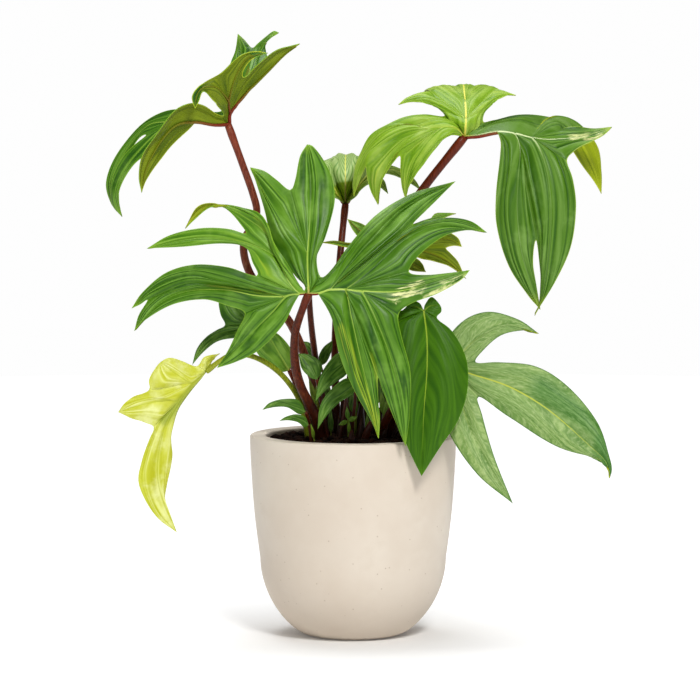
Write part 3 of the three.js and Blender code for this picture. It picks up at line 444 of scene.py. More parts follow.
add_finger(
    fork=(0, 1),
    rib=[[-62, 344], [-71.5, 365], [-83.5, 389.5], [-103.5, 405], [-125, 416, 2],
         [-143.5, 416.5, 8], [-155, 407, 10], [-162, 394.5, 10]],
    before=[[-109, 399], [-120, 411.5, 2], [-134.5, 419, 8], [-151, 415, 12]],
    after=[[-154, 402.5, 8], [-140.5, 414, 5], [-127, 418, 1], [-106.5, 415, -2], [-88, 407.5, -6],
           [-77.5, 383.5, -8], [-64, 361.5, -5], [-54, 344, -2]],
    sinus=[-47.5, 334.5],
)
add_finger(
    fork=(6, 2), rib=[[-59.5, 392.5], [-78.5, 419], [-99.5, 454]],
    before=[[-47, 340, 2], [-55.5, 348.5, 4], [-69, 367, 6], [-79.5, 387.5, 6], [-85, 410, 2],
            [-93.5, 438.5]],
    after=[[-86, 450.5], [-73.5, 441.5]], sinus=[-61, 432],
)
add_finger(
    rib=[[-43.5, 349], [-44, 370], [-42, 398], [-40.5, 437], [-44.5, 476]],
    before=[[-56, 441.5], [-51.5, 464]],
    after=[[-38.5, 474], [-28.5, 461], [-19.5, 440.5], [-18, 418.5], [-26.5, 387.5], [-35, 368]],
    sinus=[-31.5, 348],
)
add_finger(
    fork=(9, 2), rib=[[-7, 355.5], [15, 381.5], [48, 414], [99, 440.5]],
    before=[[-20.5, 355.5], [-2, 381], [23, 408.5], [56.5, 428.5]],
    after=[[84.5, 426], [70, 411.5]], sinus=[57.5, 398.5],
)
add_finger(
    fork=(9, 3), rib=[[16.5, 354.5], [49.5, 384.5], [84.5, 398], [129.5, 391]],
    before=[[71, 402.5], [93.5, 405.5], [114.5, 401.5]],
    after=[[109, 393], [87.5, 387], [65.5, 370.5]], sinus=[54, 353],
)
add_finger(
    rib=[[-34, 332], [-22.5, 335.5], [-8, 336], [7.5, 334.5], [42.5, 334], [81, 343.5],
         [113, 354.5]],
    before=[[71.5, 350], [93.5, 352]], after=[[104, 344.5], [81, 331.5], [56, 322]],
    sinus=[44, 311],
)
add_finger(
    fork=(9, 4), rib=[[23, 304], [37, 267.5], [46.5, 228.5, -3], [51, 183, -8]],
    before=[[47.5, 288.5], [55.5, 255.5], [55.5, 218.5]], after=[[38, 214.5], [28.5, 238]],
    sinus=[24, 250.5],
)
add_finger(
    fork=(9, 3), rib=[[-2, 311], [7, 269], [17, 230.5], [25, 190.5]],
    before=[[24.5, 228.5], [26, 209]], after=[[17, 209], [-0.5, 241], [-14, 275], [-21, 308]],
    end=1,
)
count_fingers("front")

# %% Leaf behind the middle, cupped and turned away
add_leaf("back", [-7.5, 418, 72])
add_finger(
    rib=[[-14, 427, 64], [-25.5, 435, 56], [-36, 430, 52], [-43, 412.5, 52]],
    before=[[-16, 423.5, 62], [-25.5, 426, 52], [-33, 419.5, 50]], after=[[-41, 425, 54]],
    sinus=[-38, 436, 60],
)
add_finger(
    fork=(0, 1), rib=[[-26.5, 447.5, 72], [-40, 451.5, 80], [-48.5, 443.5, 84]],
    before=[[-43.5, 443.5, 76]], after=[[-43.5, 455, 90], [-30, 460, 98]], sinus=[-21.5, 463, 104],
)
add_finger(
    rib=[[-7.5, 431, 60], [-7.5, 443.5, 66], [-7.5, 459, 92], [-7, 466, 120], [-7, 463, 150],
         [-7, 451.5, 172]],
    before=[[-18.5, 464, 134], [-15, 458, 160]], after=[[0.5, 458, 160], [4.5, 464, 134]],
    sinus=[7.5, 464, 108],
)
add_finger(
    fork=(4, 1), rib=[[17, 449.5, 70], [36.5, 452, 82], [53, 445.5, 88], [66, 431.5, 90]],
    before=[[24, 458, 92], [42, 453.5, 98], [58.5, 443, 96]],
    after=[[54.5, 439, 84], [39.5, 446.5, 76]], sinus=[24, 447.5, 68],
)
add_finger(
    rib=[[-1.5, 427, 64], [11.5, 440.5, 58], [24, 442.5, 56], [34, 428.5, 56]],
    before=[[30.5, 440.5, 60]], after=[[24, 436, 50], [13, 437.5, 48], [1.5, 425, 58]],
)
count_fingers("back")

# %% Leaf behind the right, seen from below
add_leaf("back_right", [30.5, 377, -18])
add_finger(
    rib=[[47, 367, -14], [70.5, 352.5, -8]], before=[[41.5, 364.5, -16], [55, 354.5, -12]],
    after=[[65.5, 362.5, -6]], sinus=[57, 368, -4],
)
add_finger(
    rib=[[49, 375, -10], [69.5, 372, 4], [90.5, 362.5, 14], [109, 346, 18]],
    before=[[67.5, 365], [84, 361.5, 8], [99.5, 354.5, 14]],
    after=[[102, 361.5, 20], [94.5, 370, 20]], sinus=[89.5, 375.5, 18],
)
add_finger(
    fork=(1, 1), rib=[[70.5, 381.5, 6], [91.5, 384.5, 16], [105, 377, 20]],
    before=[[97.5, 378, 18]], after=[[101, 386, 22], [87.5, 392.5, 24]], sinus=[72, 393.5, 22],
)
add_finger(
    rib=[[45, 391.5, -8], [64.5, 401.5, 8], [82, 406.5, 18], [99.5, 409.5, 22]],
    before=[[78, 408.5, 20], [89.5, 410, 24]], after=[[82, 403, 12], [64.5, 397, 2], [45, 397, -8]],
    sinus=[31.5, 387.5, -14],
)
add_finger(
    rib=[[20, 383.5, -10], [6.5, 393, 6], [-5.5, 404, 18]],
    before=[[22, 391.5, -8], [8.5, 399.5, 8]], after=[[-1.5, 395, 12], [4.5, 387.5, 6]],
    sinus=[12.5, 382.5, -4],
)
add_finger(
    rib=[[12.5, 377.5, -14], [-3, 379, -8], [-17.5, 381, -2], [-31, 381, 4]],
    before=[[-3, 381, -6], [-18.5, 383]],
    after=[[-18.5, 379, -4], [-3, 375.5, -10], [12.5, 372, -16]],
)
count_fingers("back_right")

# %% Leaf in front of the rim, and the pale leaf at the right
add_leaf("right", [68.5, 315, -74], bend=(0.05, 0.2, -4, 3))
add_finger(
    rib=[[74, 319.5], [84, 321]], round=True, before=[[69.5, 321, -1], [76, 328.5, -1]],
    after=[[85.5, 314.5]], sinus=[81.5, 307.5],
)
add_finger(
    rib=[[71.5, 288.5], [71.5, 255.5], [68.5, 213.5], [66.5, 154]],
    before=[[96, 295], [109.5, 269], [111, 239], [102, 209], [84, 181.5]],
    after=[[55, 177.5], [45, 204], [37.5, 236], [36, 269], [38.5, 292.5]], sinus=[42, 305],
)
add_finger(
    rib=[[60.5, 319], [49.5, 317]], round=True, before=[[44.5, 313.5]],
    after=[[57, 324.5], [64.5, 322.5]],
)

add_leaf("pale", [93.5, 261.5, -46], bend=(-0.08, 0.3, -3, 0))
add_finger(
    rib=[[108, 277], [122.5, 289.5], [147, 300], [180, 293]],
    before=[[90, 277], [96, 294.5], [113, 309.5], [134.5, 314], [160.5, 306.5]],
    after=[[163.5, 296], [142, 290.5], [126.5, 277]], sinus=[119, 265],
)
add_finger(
    rib=[[113.5, 254], [152, 241], [190.5, 218], [230.5, 183], [246, 167], [249, 151.5]],
    before=[[142, 265], [176, 261.5], [208, 242], [237, 207], [249, 173], [251.5, 160]],
    after=[[248.5, 161.5], [237.5, 171], [197.5, 183], [151, 212]], sinus=[122, 231.5],
)
add_finger(
    rib=[[103.5, 230.5], [115, 196], [135, 158], [155.5, 127]], before=[[125.5, 213], [137.5, 172]],
    after=[[121, 155.5], [94.5, 193.5], [84, 226.5]],
)
count_fingers("right", "pale")

# %% The lime leaf at the left, and the leaf behind its stalk
add_leaf("lime", [-142, 256, -78], bend=(0.1, -0.1, 0, 0))
add_finger(
    rib=[[-155.5, 245], [-168, 228.5], [-182, 203.5], [-189.5, 172.5], [-188, 140.5], [-171.5, 99]],
    before=[[-149.5, 246, 8], [-162.5, 231, 10], [-175.5, 213, 8], [-177.5, 192.5, 4],
            [-175, 174.5, 6], [-181, 146.5, 6], [-181.5, 125, 2]],
    after=[[-190, 113], [-202.5, 131.5, -2], [-209, 150.5, -4], [-205, 170, -4],
           [-197.5, 190.5, -2]],
    sinus=[-193.5, 202],
)
add_finger(
    fork=(0, 2), rib=[[-181.5, 228, -4], [-205, 224, -6], [-228, 216.5, -2]],
    before=[[-203, 206.5, -2], [-216, 211, -2]], after=[[-221.5, 225.5, -4], [-211, 232.5, -6]],
    sinus=[-198, 238, -8],
)
add_finger(
    fork=(0, 1), rib=[[-171, 253.5, -8], [-187, 265, -8]], round=True,
    before=[[-198, 247.5, -10], [-193.5, 256.5, -10]], after=[[-177, 269.5, -8], [-164, 265.5, -6]],
    sinus=[-151.5, 261, -4],
)
add_finger(
    rib=[[-140.5, 266], [-129, 273.5, 4]], before=[[-143.5, 270.5, -2]], after=[[-134.5, 268.5, 5]],
)

add_leaf("rear_left", [-84.5, 300.5, -28], bend=(0, 0.2, 0, 0))
add_finger(
    rib=[[-109.5, 298], [-131, 293], [-145.5, 281.5], [-156, 262.5]],
    before=[[-94.5, 288.5], [-113.5, 288.5], [-131, 285.5], [-145, 275]],
    after=[[-151.5, 278], [-142.5, 289.5], [-132, 296.5]], sinus=[-124, 301.5],
)
add_finger(
    rib=[[-100, 307], [-113.5, 319.5], [-123, 342]], before=[[-128.5, 312], [-130, 327.5]],
    after=[[-109.5, 342], [-95, 325.5]],
)
count_fingers("lime", "rear_left")

# %% Leaves between the stalks
add_leaf("inner_left", [-62, 257, -30], bend=(0, -0.35, 0, 0))
add_finger(
    rib=[[-70, 271], [-78.5, 285], [-92.5, 300.5]],
    before=[[-70, 256], [-81.5, 263.5], [-93, 274], [-96, 286.5]],
    after=[[-78.5, 296.5], [-64, 284], [-57.5, 270]],
)

add_leaf("young", [-43, 342, -66], bend=(0, 0.3, 0, 0))
add_finger(
    rib=[[-43.5, 362.5], [-42.5, 387.5], [-41, 417.5]],
    before=[[-46.5, 354.5], [-49, 376], [-46.5, 398]],
    after=[[-35, 397], [-35.5, 376], [-39, 354.5]],
)
count_fingers("inner_left", "young")

# %% Small leaves near the soil
add_leaf("base_1", [-35, 248, -46], bend=(0, 0.2, 0, 0))
add_finger(
    rib=[[-39.5, 258.5], [-46, 267], [-53, 273.5]], before=[[-42, 250.5], [-50, 259.5]],
    after=[[-43, 272.5], [-31.5, 266], [-30.5, 256.5]],
)

add_leaf("base_2", [-3, 269, -44], bend=(0.15, 0.2, 0, 0))
add_finger(
    rib=[[-16, 258.5], [-27.5, 246], [-36.5, 227]],
    before=[[-5.5, 254.5], [-16, 246], [-27.5, 237]],
    after=[[-33.5, 246], [-26.5, 261.5], [-14.5, 274]],
)

add_leaf("base_3", [2.5, 244, -50], bend=(0.15, 0.2, 0, 0))
add_finger(
    rib=[[-10, 234], [-23.5, 223.5], [-34.5, 200]], before=[[0.5, 235], [-13, 226], [-24.5, 214.5]],
    after=[[-32, 222.5], [-21.5, 238.5], [-7, 249.5]],
)

add_leaf("base_4", [-31.5, 261.5, -5], bend=(0, 0.2, 0, 0))
add_finger(
    rib=[[-26.5, 272], [-22.5, 280], [-20, 286.5]], before=[[-33.5, 270], [-28.5, 280]],
    after=[[-20.5, 277], [-25.5, 265.5]],
)

add_leaf("base_5", [-36, 265.5, 22], bend=(0, 0.2, 0, 0))
add_finger(
    rib=[[-40, 273], [-44, 279], [-49, 285.5]], before=[[-44, 269], [-48.5, 277]],
    after=[[-42, 284], [-36, 275]],
)
count_fingers("base_1", "base_2", "base_3", "base_4", "base_5")

# %% Low leaves that hang over the rim at the left
add_leaf("low_1", [-46, 216.5, -46], bend=(0.3, 0, 0, 0))
add_finger(
    rib=[[-55.5, 221], [-70, 224.5], [-88, 219]],
    before=[[-52.5, 214.5], [-63.5, 221], [-75, 221.5]],
    after=[[-80.5, 226], [-66.5, 229.5], [-52.5, 228]],
)

add_leaf("low_2", [-43, 204, -48], bend=(0.3, 0, 0, 0))
add_finger(
    rib=[[-49, 208.5], [-59.5, 211.5], [-71.5, 208]],
    before=[[-47, 201.5], [-53.5, 206.5], [-62.5, 208.5]],
    after=[[-65.5, 212], [-55.5, 214.5], [-47, 212]],
)
count_fingers("low_1", "low_2")

# %% [markdown]
# A stalk has its radius in the soil and at the leaf, the point (x, y) where it enters the soil,
# and its route from there. It ends at the junction of its leaf. The stalk of the right leaf passes
# under the blade and ends a little further back.

# %% Stalk points
STALKS = {
    "upper_left": ((5.0, 3.3), (-26.5, 2), [
        [-34, 233, 4], [-46, 269, 8], [-61.5, 304, 12], [-82.5, 327.5, 14], [-99, 350, 14],
        [-105.5, 370, 12], [-104.5, 385.5, 10], [-97, 398, 8], [-93, 411.5, 6], [-97, 429, 6],
        [-106.5, 456, 8],
    ]),
    "upper_right": ((5.0, 3.9), (-7, -2), [
        [-3, 228.5], [-0.5, 262.5, 4], [5.5, 306, 8], [19, 350, 12], [42, 395.5, 14], [69, 435, 14],
    ]),
    "front": ((6.0, 3.4), (-30, -20), [
        [-36, 211, -28], [-43.5, 226.5, -34], [-51, 242, -41], [-55.5, 259.5, -50], [-57, 277, -60],
        [-55.5, 296.5, -74], [-48.5, 318, -88],
    ]),
    "back": ((4.2, 3.2), (-15, 14), [
        [-17, 238, 20], [-17.5, 282, 30], [-15, 335, 44], [-12, 374, 58],
    ]),
    "back_right": ((3.6, 2.6), (4.5, 14), [[8.5, 248, 14], [14, 306, 2], [23, 345, -10]]),
    "right": ((4.6, 2.8), (22, -16), [[34.5, 213.5, -30], [50, 243, -50], [61.5, 282, -64]]),
    "pale": ((4.6, 2.8), (31.5, -4), [[43.5, 218.5, -16], [62.5, 243, -30], [81, 256.5, -41]]),
    "lime": ((3.2, 2.3), (-43, -16), [
        [-48, 214.5, -25], [-54.5, 233, -30], [-67, 250.5, -42], [-82.5, 263.5, -58],
        [-100, 271.5, -72], [-116.5, 272.5, -80], [-129, 266.5, -82],
    ]),
    "rear_left": ((2.8, 2.0), (-41, 2), [[-46, 220.5, -4], [-54.5, 248, -12], [-67, 277, -16]]),
    "inner_left": ((2.4, 1.8), (-34, -7), [[-46, 224.5, -14], [-54.5, 240, -24]]),
    "young": ((3.8, 2.8), (-22.5, -8), [
        [-32.5, 243, -12], [-37, 273, -28], [-40, 296.5, -44], [-42, 319.5, -58],
    ]),
    "base_1": ((1.8, 1.3), (-23.5, -25), [[-31.5, 228.5, -34]]),
    "base_2": ((1.9, 1.4), (-13, -30), [[-7, 228.5, -36]]),
    "base_3": ((1.9, 1.4), (-3, -30), [[1.5, 223.5, -42]]),
    "base_4": ((1.6, 1.1), (-15, 2), [[-22.5, 233, -2]]),
    "base_5": ((1.5, 1.1), (-22.5, 17), [[-30.5, 236, 20]]),
    "low_1": ((1.9, 1.4), (-39, -34), [[-42, 205, -40]]),
    "low_2": ((1.6, 1.2), (-40.5, -45), [[-42, 199, -47]]),
    "stub_1": ((4.4, 3.6), (10.5, -34), [[14.5, 199, -37], [18, 208, -39]]),
    "stub_2": ((3.8, 3.0), (-1.5, -46), [[-1.5, 195, -46], [-1, 199, -46]]),
}
STALK_ENDS = {"right": [68.5, 311, -68]}
print("stalks", len(STALKS))

# %% [markdown]
# ## Smooth lines
# A smooth line through a few points is a spline. The Catmull-Rom kind passes through every point,
# which suits points that were chosen on the outline itself. `section` samples a stretch of it,
# and `evenly` spaces the samples of any line at equal distances.

# %% Lines
def placed(across, up, back=0.0):
    """A point seen at (across, up) on the upright plane, moved along the sight line to back."""
    away = 1 - back / EYE[1]
    x = EYE[0] + (across - EYE[0]) * away
    return np.array([x, back, EYE[2] + (up - EYE[2]) * away])


def leaf_point(leaf, point):
    across, up, out = (*point, 0.0)[:3]
    if "bend" not in leaf:
        return placed(across, up, out)
    lean, tilt, bow_across, bow_up = leaf["bend"]
    dx = across - leaf["junction"][0]
    dz = up - leaf["junction"][1]
    bow = bow_across * (dx / 100) ** 2 + bow_up * (dz / 100) ** 2
    return placed(across, up, leaf["junction"][2] + lean * dx + tilt * dz + bow + out)


def section(points, first, last, steps):
    """Points on the spline through points, from one of them to another, in equal steps."""
    points = np.asarray(points, float)
    ends = np.vstack([2 * points[0] - points[1], points, 2 * points[-1] - points[-2]])
    where = np.linspace(first, last, steps + 1)
    span = np.clip(where.astype(int), 0, len(points) - 2)
    w = (where - span)[:, None]
    before, start, end, after = (ends[span + k] for k in range(4))
    leave, arrive = (end - before) / 2, (after - start) / 2
    bend = 3 * (end - start) - 2 * leave - arrive
    turn = 2 * (start - end) + leave + arrive
    return start + leave * w + bend * w ** 2 + turn * w ** 3


def reach(line):
    """How far along a line each of its points is."""
    steps = np.linalg.norm(np.diff(line, axis=0), axis=1)
    return np.concatenate([[0.0], np.cumsum(steps)])


def share_along(line):
    """How far along a line each of its points is, as a share of its length."""
    along = reach(line)
    return along / along[-1]


def evenly(line, steps):
    along = reach(line)
    goals = np.linspace(0, along[-1], steps + 1)
    return np.stack([np.interp(goals, along, line[:, axis]) for axis in range(3)], axis=1)


test_line = section([[0, 0, 0], [10, 0, 0], [20, 10, 0]], 0, 2, 8)
print("a line of", len(test_line), "points is", round(reach(test_line)[-1], 1), "mm long")

# %% [markdown]
# ## From fingers to half fingers
# A finger's blade has two halves that meet at the rib. Each half lies between the rib and an
# outer line. The outer line is the free edge, and nearer the junction, where two fingers are
# still joined, it is the web line from the fork of their ribs to the notch between them. A forked
# rib starts on another finger's rib and shares its first points, so no gap opens there.

# %% Ribs and edges
FINE = 12


def ribs_of(leaf):
    junction = placed(*leaf["junction"])
    ribs = {}

    def rib_of(index):
        if index in ribs:
            return ribs[index]
        finger = leaf["fingers"][index]
        own = [leaf_point(leaf, point) for point in finger["rib"]]
        if "fork" in finger:
            parent, shared = rib_of(finger["fork"][0]), finger["fork"][1]
        else:
            parent, shared = {"controls": [junction], "line": junction[None]}, 0
        controls = [*parent["controls"][:shared + 1], *own]
        before = max(shared - 1, 0)
        start = shared - before
        grown = section(controls[before:], start, start + len(own), len(own) * FINE)
        line = np.vstack([parent["line"][:shared * FINE], grown])
        ribs[index] = {"controls": controls, "line": line, "shared": shared}
        return ribs[index]

    for index in range(len(leaf["fingers"])):
        rib_of(index)
    return ribs


def edges_of(leaf, ribs):
    """Each finger's two edges, each from its notch to its tip. Only tips are sharp."""
    last = len(leaf["fingers"]) - 1
    run = [ribs[0]["controls"][leaf.get("start", 0)]]
    notch = (run, 0)
    marks = []
    for index, finger in enumerate(leaf["fingers"]):
        controls = ribs[index]["controls"]
        tip = controls[-1]
        run += [leaf_point(leaf, point) for point in finger["before"]] + [tip]
        rising = (run, notch[1], len(run) - 1)
        if not finger.get("round"):
            run = [tip]
        tip_at = len(run) - 1
        run += [leaf_point(leaf, point) for point in finger["after"]]
        run.append(
            leaf_point(leaf, finger["sinus"]) if index < last else controls[finger.get("end", 0)]
        )
        notch = (run, len(run) - 1)
        marks.append((rising, (run, notch[1], tip_at)))
    return [
        [section(points, a, b, abs(b - a) * FINE) for points, a, b in pair] for pair in marks
    ]


def fork_before(ribs, index):
    one, other = ribs[index - 1]["controls"], ribs[index]["controls"]
    shared = 0
    while np.allclose(one[shared + 1], other[shared + 1]):
        shared += 1
    return shared


def half_fingers(leaf):
    """Each half finger: its rib, its outer line, how many outer points are web, and its side."""
    ribs = ribs_of(leaf)
    edges = edges_of(leaf, ribs)
    last = len(leaf["fingers"]) - 1
    halves = []
    for index, finger in enumerate(leaf["fingers"]):
        line = ribs[index]["line"]
        if index == 0:
            skip = leaf.get("start", 0) * FINE
            outer = evenly(edges[0][0], len(line) - 1 - skip)
            halves.append((index, skip, line[skip:], outer, 0, False))
        else:
            fork = fork_before(ribs, index) * FINE
            previous = leaf["fingers"][index - 1]
            inner = [*previous.get("web", []), previous["sinus"]]
            web = [line[fork], *(leaf_point(leaf, point) for point in inner)]
            web_line = section(web, 0, len(web) - 1, FINE * 4)
            pair = [
                (index - 1, ribs[index - 1]["line"][fork:], edges[index - 1][1], True),
                (index, line[fork:], edges[index][0], False),
            ]
            steps = min(len(own) - 1 for _, own, _, _ in pair)
            longest = max(reach(edge)[-1] for _, _, edge, _ in pair)
            web_reach = reach(web_line)[-1]
            shared = min(round(steps * web_reach / (web_reach + longest)), steps - 2)
            for finger_index, own, edge, turned in pair:
                free = evenly(edge, len(own) - 1 - shared)
                outer = np.vstack([evenly(web_line, shared)[:-1], free])
                halves.append((finger_index, fork, own, outer, shared, turned))
        if index == last:
            skip = finger.get("end", 0) * FINE
            outer = evenly(edges[index][1], len(line) - 1 - skip)
            halves.append((index, skip, line[skip:], outer, 0, True))
    return ribs, halves


for name in ("front", "right"):
    print(name, "has", len(half_fingers(LEAVES[name])[1]), "half fingers")

# %% [markdown]
# ## A blade from grids
# A half finger is a grid whose rows are laid from the rib to the outer line. Modelling it with
# `create_grid` gives the faces for free, and only the places of the vertices are worked out. The
# grids of one leaf are then welded with `remove_doubles`. Every face corner also remembers where
# it is on the leaf: how far along its finger, how far across, how near to the rib and to the free
# edge, and which furrow it is in. The finish reads these as attributes, so its pattern follows
# the leaf.
#
# Blades aren't flat. Between the ribs they swell, and long furrows run from the rib towards the
# tip. Each vertex gets a rise, which is stored while the grid is laid, and it is raised along its
# normal by that amount later.

# %% Patches and pale ribs
def own_share(look, kind, index):
    return look[kind].get(index, look[kind].get("all", 0.0))


def painted(look, kind, index, point):
    """How much of a streak, glow or tone a finger has at a point: its own share and patches."""
    amount = own_share(look, kind, index)
    here = Vector((point[0], point[2]))
    for start, end, size, share in look["patches"].get(kind, ()):
        start, end = Vector(start), Vector(end)
        line = end - start
        part = min(max((here - start).dot(line) / max(line.length_squared, 1.0), 0.0), 1.0)
        gap = (here - start.lerp(end, part)).length
        amount = max(amount, share * min(max(1.4 * (1 - gap / size), 0.0), 1.0))
    return amount


def rib_strength(look, leaf, ribs, index, at):
    """How plainly the pale rib shows at a point. Up to a fork, the parent's rib counts."""
    while "fork" in leaf["fingers"][index] and at < ribs[index]["shared"] * FINE:
        index = leaf["fingers"][index]["fork"][0]
    places, strengths = look["rib_line"].get(index, look["rib_line"]["all"])
    return float(np.interp(share_along(ribs[index]["line"])[at], places, strengths))


test_look = {"tone": {}, "patches": {"tone": [((0, 0), (10, 0), 4, 1.0)]}}
print("beside a stroke", [round(painted(test_look, "tone", 0, (5, 0, z)), 2) for z in (0, 2, 4)])

# %% Laying the grids
CORNER_LAYERS = (
    "along", "across", "from_rib", "to_edge", "furrow", "streak", "glow", "tone", "pale_rib",
)
WIDE_HALF = 22.0
NARROW_HALF = 12.0
WAVE_START = 14.0


def relief(look, index, turned, seed, furrows, s, t, width, free, calm):
    """The furrow that a point is in, and how far it is raised: swelling, pleats and wavy edge."""
    wander = 0.45 * noise.noise(Vector((3.2 * s, 1.6 * t, seed + 3.7 * index + turned)))
    uneven = 0.3 * math.sin(2 * math.pi * (1.3 * t + 0.29 * index + seed))
    furrow = furrows * t - look["slant"] * s + wander + uneven
    body = math.sin(math.pi * t)
    room = min(width / NARROW_HALF, 1.0)
    depth = 0.8 + 0.9 * noise.noise(Vector((2.0 * s, 2.5 * t, 9 + seed + index)))
    ridge = abs(math.sin(math.pi * furrow)) ** 0.8 - 0.6
    wave = math.sin(2 * math.pi * (s * look["waves"] + seed * 0.37 + index * 0.31))
    swelling = look["swell"] * width * body * calm
    pleat = look["pleat"] * depth * ridge * body * room * (0.3 + 0.7 * calm)
    ripple = look["wave"] * look["wavy"].get(index, 1.0) * wave
    return furrow, swelling + pleat + ripple * t ** 3 * free * room * (1 - s) ** 0.5


def lay_half(bm, half, look, leaf, ribs, seed):
    index, skip, own, outer, web, turned = half
    forked = "fork" in leaf["fingers"][index]
    width = np.linalg.norm(outer - own, axis=1)
    widest = width.max()
    across_steps = int(np.clip(math.ceil(widest / look["mesh"]), 4, 20))
    rows = len(own) - 1
    grid = bmesh.ops.create_grid(bm, x_segments=rows, y_segments=across_steps, size=1)
    layers = {name: bm.loops.layers.float[name] for name in CORNER_LAYERS}
    rise_layer = bm.verts.layers.float["rise"]
    fixed_layer = bm.verts.layers.int["fixed"]
    along = share_along(ribs[index]["line"])
    outer_reach = reach(outer)
    own_turn = noise.noise(Vector((seed, 2.3 * index, 5.1 * turned)))
    furrows = look["furrows"] * min(max(widest / WIDE_HALF, 1.0), 1.6) * (1 + 0.2 * own_turn)
    strengths = [rib_strength(look, leaf, ribs, index, skip + i) for i in range(rows + 1)]
    fork_row = skip or ribs[index]["shared"] * FINE
    faces = set()
    values = {}
    for vert in grid["verts"]:
        i = round((vert.co.x + 1) / 2 * rows)
        j = round((vert.co.y + 1) / 2 * across_steps)
        t = j / across_steps
        s = along[skip + i]
        free = 0.0 if i < web else min((outer_reach[i] - outer_reach[web]) / WAVE_START, 1.0)
        calm = min(abs(skip + i - fork_row) / FINE, 1.0) if fork_row else 1.0
        furrow, vert[rise_layer] = relief(
            look, index, turned, seed, furrows, s, t, width[i], free, calm
        )
        vert[fixed_layer] = 1 if j == 0 and not forked else 0
        vert.co = own[i] * (1 - t) + outer[i] * t
        to_web = 0.0 if i >= web else outer_reach[web] - outer_reach[i]
        values[vert] = {
            "along": s,
            "across": t,
            "from_rib": t * width[i],
            "to_edge": (1 - t) * width[i] + 0.8 * to_web,
            "furrow": furrow,
            "pale_rib": strengths[i],
            **{kind: painted(look, kind, index, vert.co) for kind in ("streak", "glow", "tone")},
        }
        faces.update(vert.link_faces)
    turn_from, turn_to = look["turned_over"].get(index, (2, 2))
    for face in faces:
        s = sum(values[vert]["along"] for vert in face.verts) / len(face.verts)
        face.material_index = 1 if turn_from < s < turn_to else 0
        for loop in face.loops:
            for name, layer in layers.items():
                loop[layer] = values[loop.vert][name]
    if turned:
        bmesh.ops.reverse_faces(bm, faces=list(faces))


print("a vertex of the grid has", len(CORNER_LAYERS), "values at each of its corners")

# %% [markdown]
# ## Tubes
# Ribs, stalks and sheaths are all round tubes along a path. A circle is extruded from one ring to
# the next. Its frame is turned by the smallest turn between two headings, so no tube is twisted.

# %% Tubes
def tube(path, radii, sides, layers=()):
    """A round tube with closed ends: a circle that is extruded from ring to ring of a path.

    Its corners carry how far along the path they are, and the value of each extra layer.
    """
    bm = bmesh.new()
    along_layer = bm.loops.layers.float.new("along")
    path = [Vector(point) for point in path]
    ring = bmesh.ops.create_circle(bm, cap_ends=True, segments=sides, radius=1)["verts"]
    before = Matrix.Identity(4)
    heading = (path[1] - path[0]).normalized()
    facing = Vector((0, 0, 1)).rotation_difference(heading).to_matrix()
    loop = list(bm.edges)
    ring_of = {}
    for k, (point, radius) in enumerate(zip(path, radii)):
        if k:
            ahead = (path[min(k + 1, len(path) - 1)] - path[k - 1]).normalized()
            facing = heading.rotation_difference(ahead).to_matrix() @ facing
            heading = ahead
            grown = bmesh.ops.extrude_edge_only(bm, edges=loop)["geom"]
            ring = [g for g in grown if isinstance(g, bmesh.types.BMVert)]
            fresh = set(ring)
            loop = [
                g for g in grown
                if isinstance(g, bmesh.types.BMEdge) and all(v in fresh for v in g.verts)
            ]
        size = Matrix.Diagonal((radius, radius, radius, 1))
        there = Matrix.Translation(point) @ facing.to_4x4() @ size
        bmesh.ops.transform(bm, matrix=there @ before.inverted(), verts=ring)
        before = there
        ring_of.update((vert, k) for vert in ring)
    bmesh.ops.contextual_create(bm, geom=loop)
    bmesh.ops.recalc_face_normals(bm, faces=bm.faces)
    extra = {bm.loops.layers.float.new(name): value for name, value in dict(layers).items()}
    along = share_along(np.array(path))
    for face in bm.faces:
        face.smooth = len(face.verts) == 4
        for corner in face.loops:
            corner[along_layer] = along[ring_of[corner.vert]]
            for layer, value in extra.items():
                corner[layer] = value
    return bm


def absorb(bm, small):
    """Adds a small bmesh to a large one, and frees the small one."""
    carrier = bpy.data.meshes.new("carrier")
    small.to_mesh(carrier)
    small.free()
    bm.from_mesh(carrier)
    bpy.data.meshes.remove(carrier)


trial = tube([(0, 0, 0), (0, 0, 5), (0, 2, 9)], [1, 1, 0.5], 8)
print("a tube of 3 rings has", len(trial.faces), "faces")
trial.free()

# %% [markdown]
# ## A whole leaf
# The welded sheet is smoothed a little, away from its outline and ribs, so that the webs between
# fingers turn softly. Then every vertex is raised by its stored amount. The ribs are thin
# tapering tubes that stand out on the underside, as on the plant. Solidify can throw out long
# spikes at the sharp tips of such a sheet, so the thickness comes from an extrusion of all its
# faces, in which each vertex sinks by the same small amount. The sunk faces get the finish of the
# underside. The rim has sharp edges, so that both sides keep their own shading up to the edge.

# %% Thickness
THICKNESS = 0.75


def finish_mesh(bm, name, materials):
    """Turns a bmesh in millimetres into an object in metres."""
    bmesh.ops.scale(bm, vec=(MM, MM, MM), verts=bm.verts)
    data = bpy.data.meshes.new(name)
    bm.to_mesh(data)
    bm.free()
    for material in materials:
        data.materials.append(material)
    piece = bpy.data.objects.new(name, data)
    bpy.context.scene.collection.objects.link(piece)
    return piece


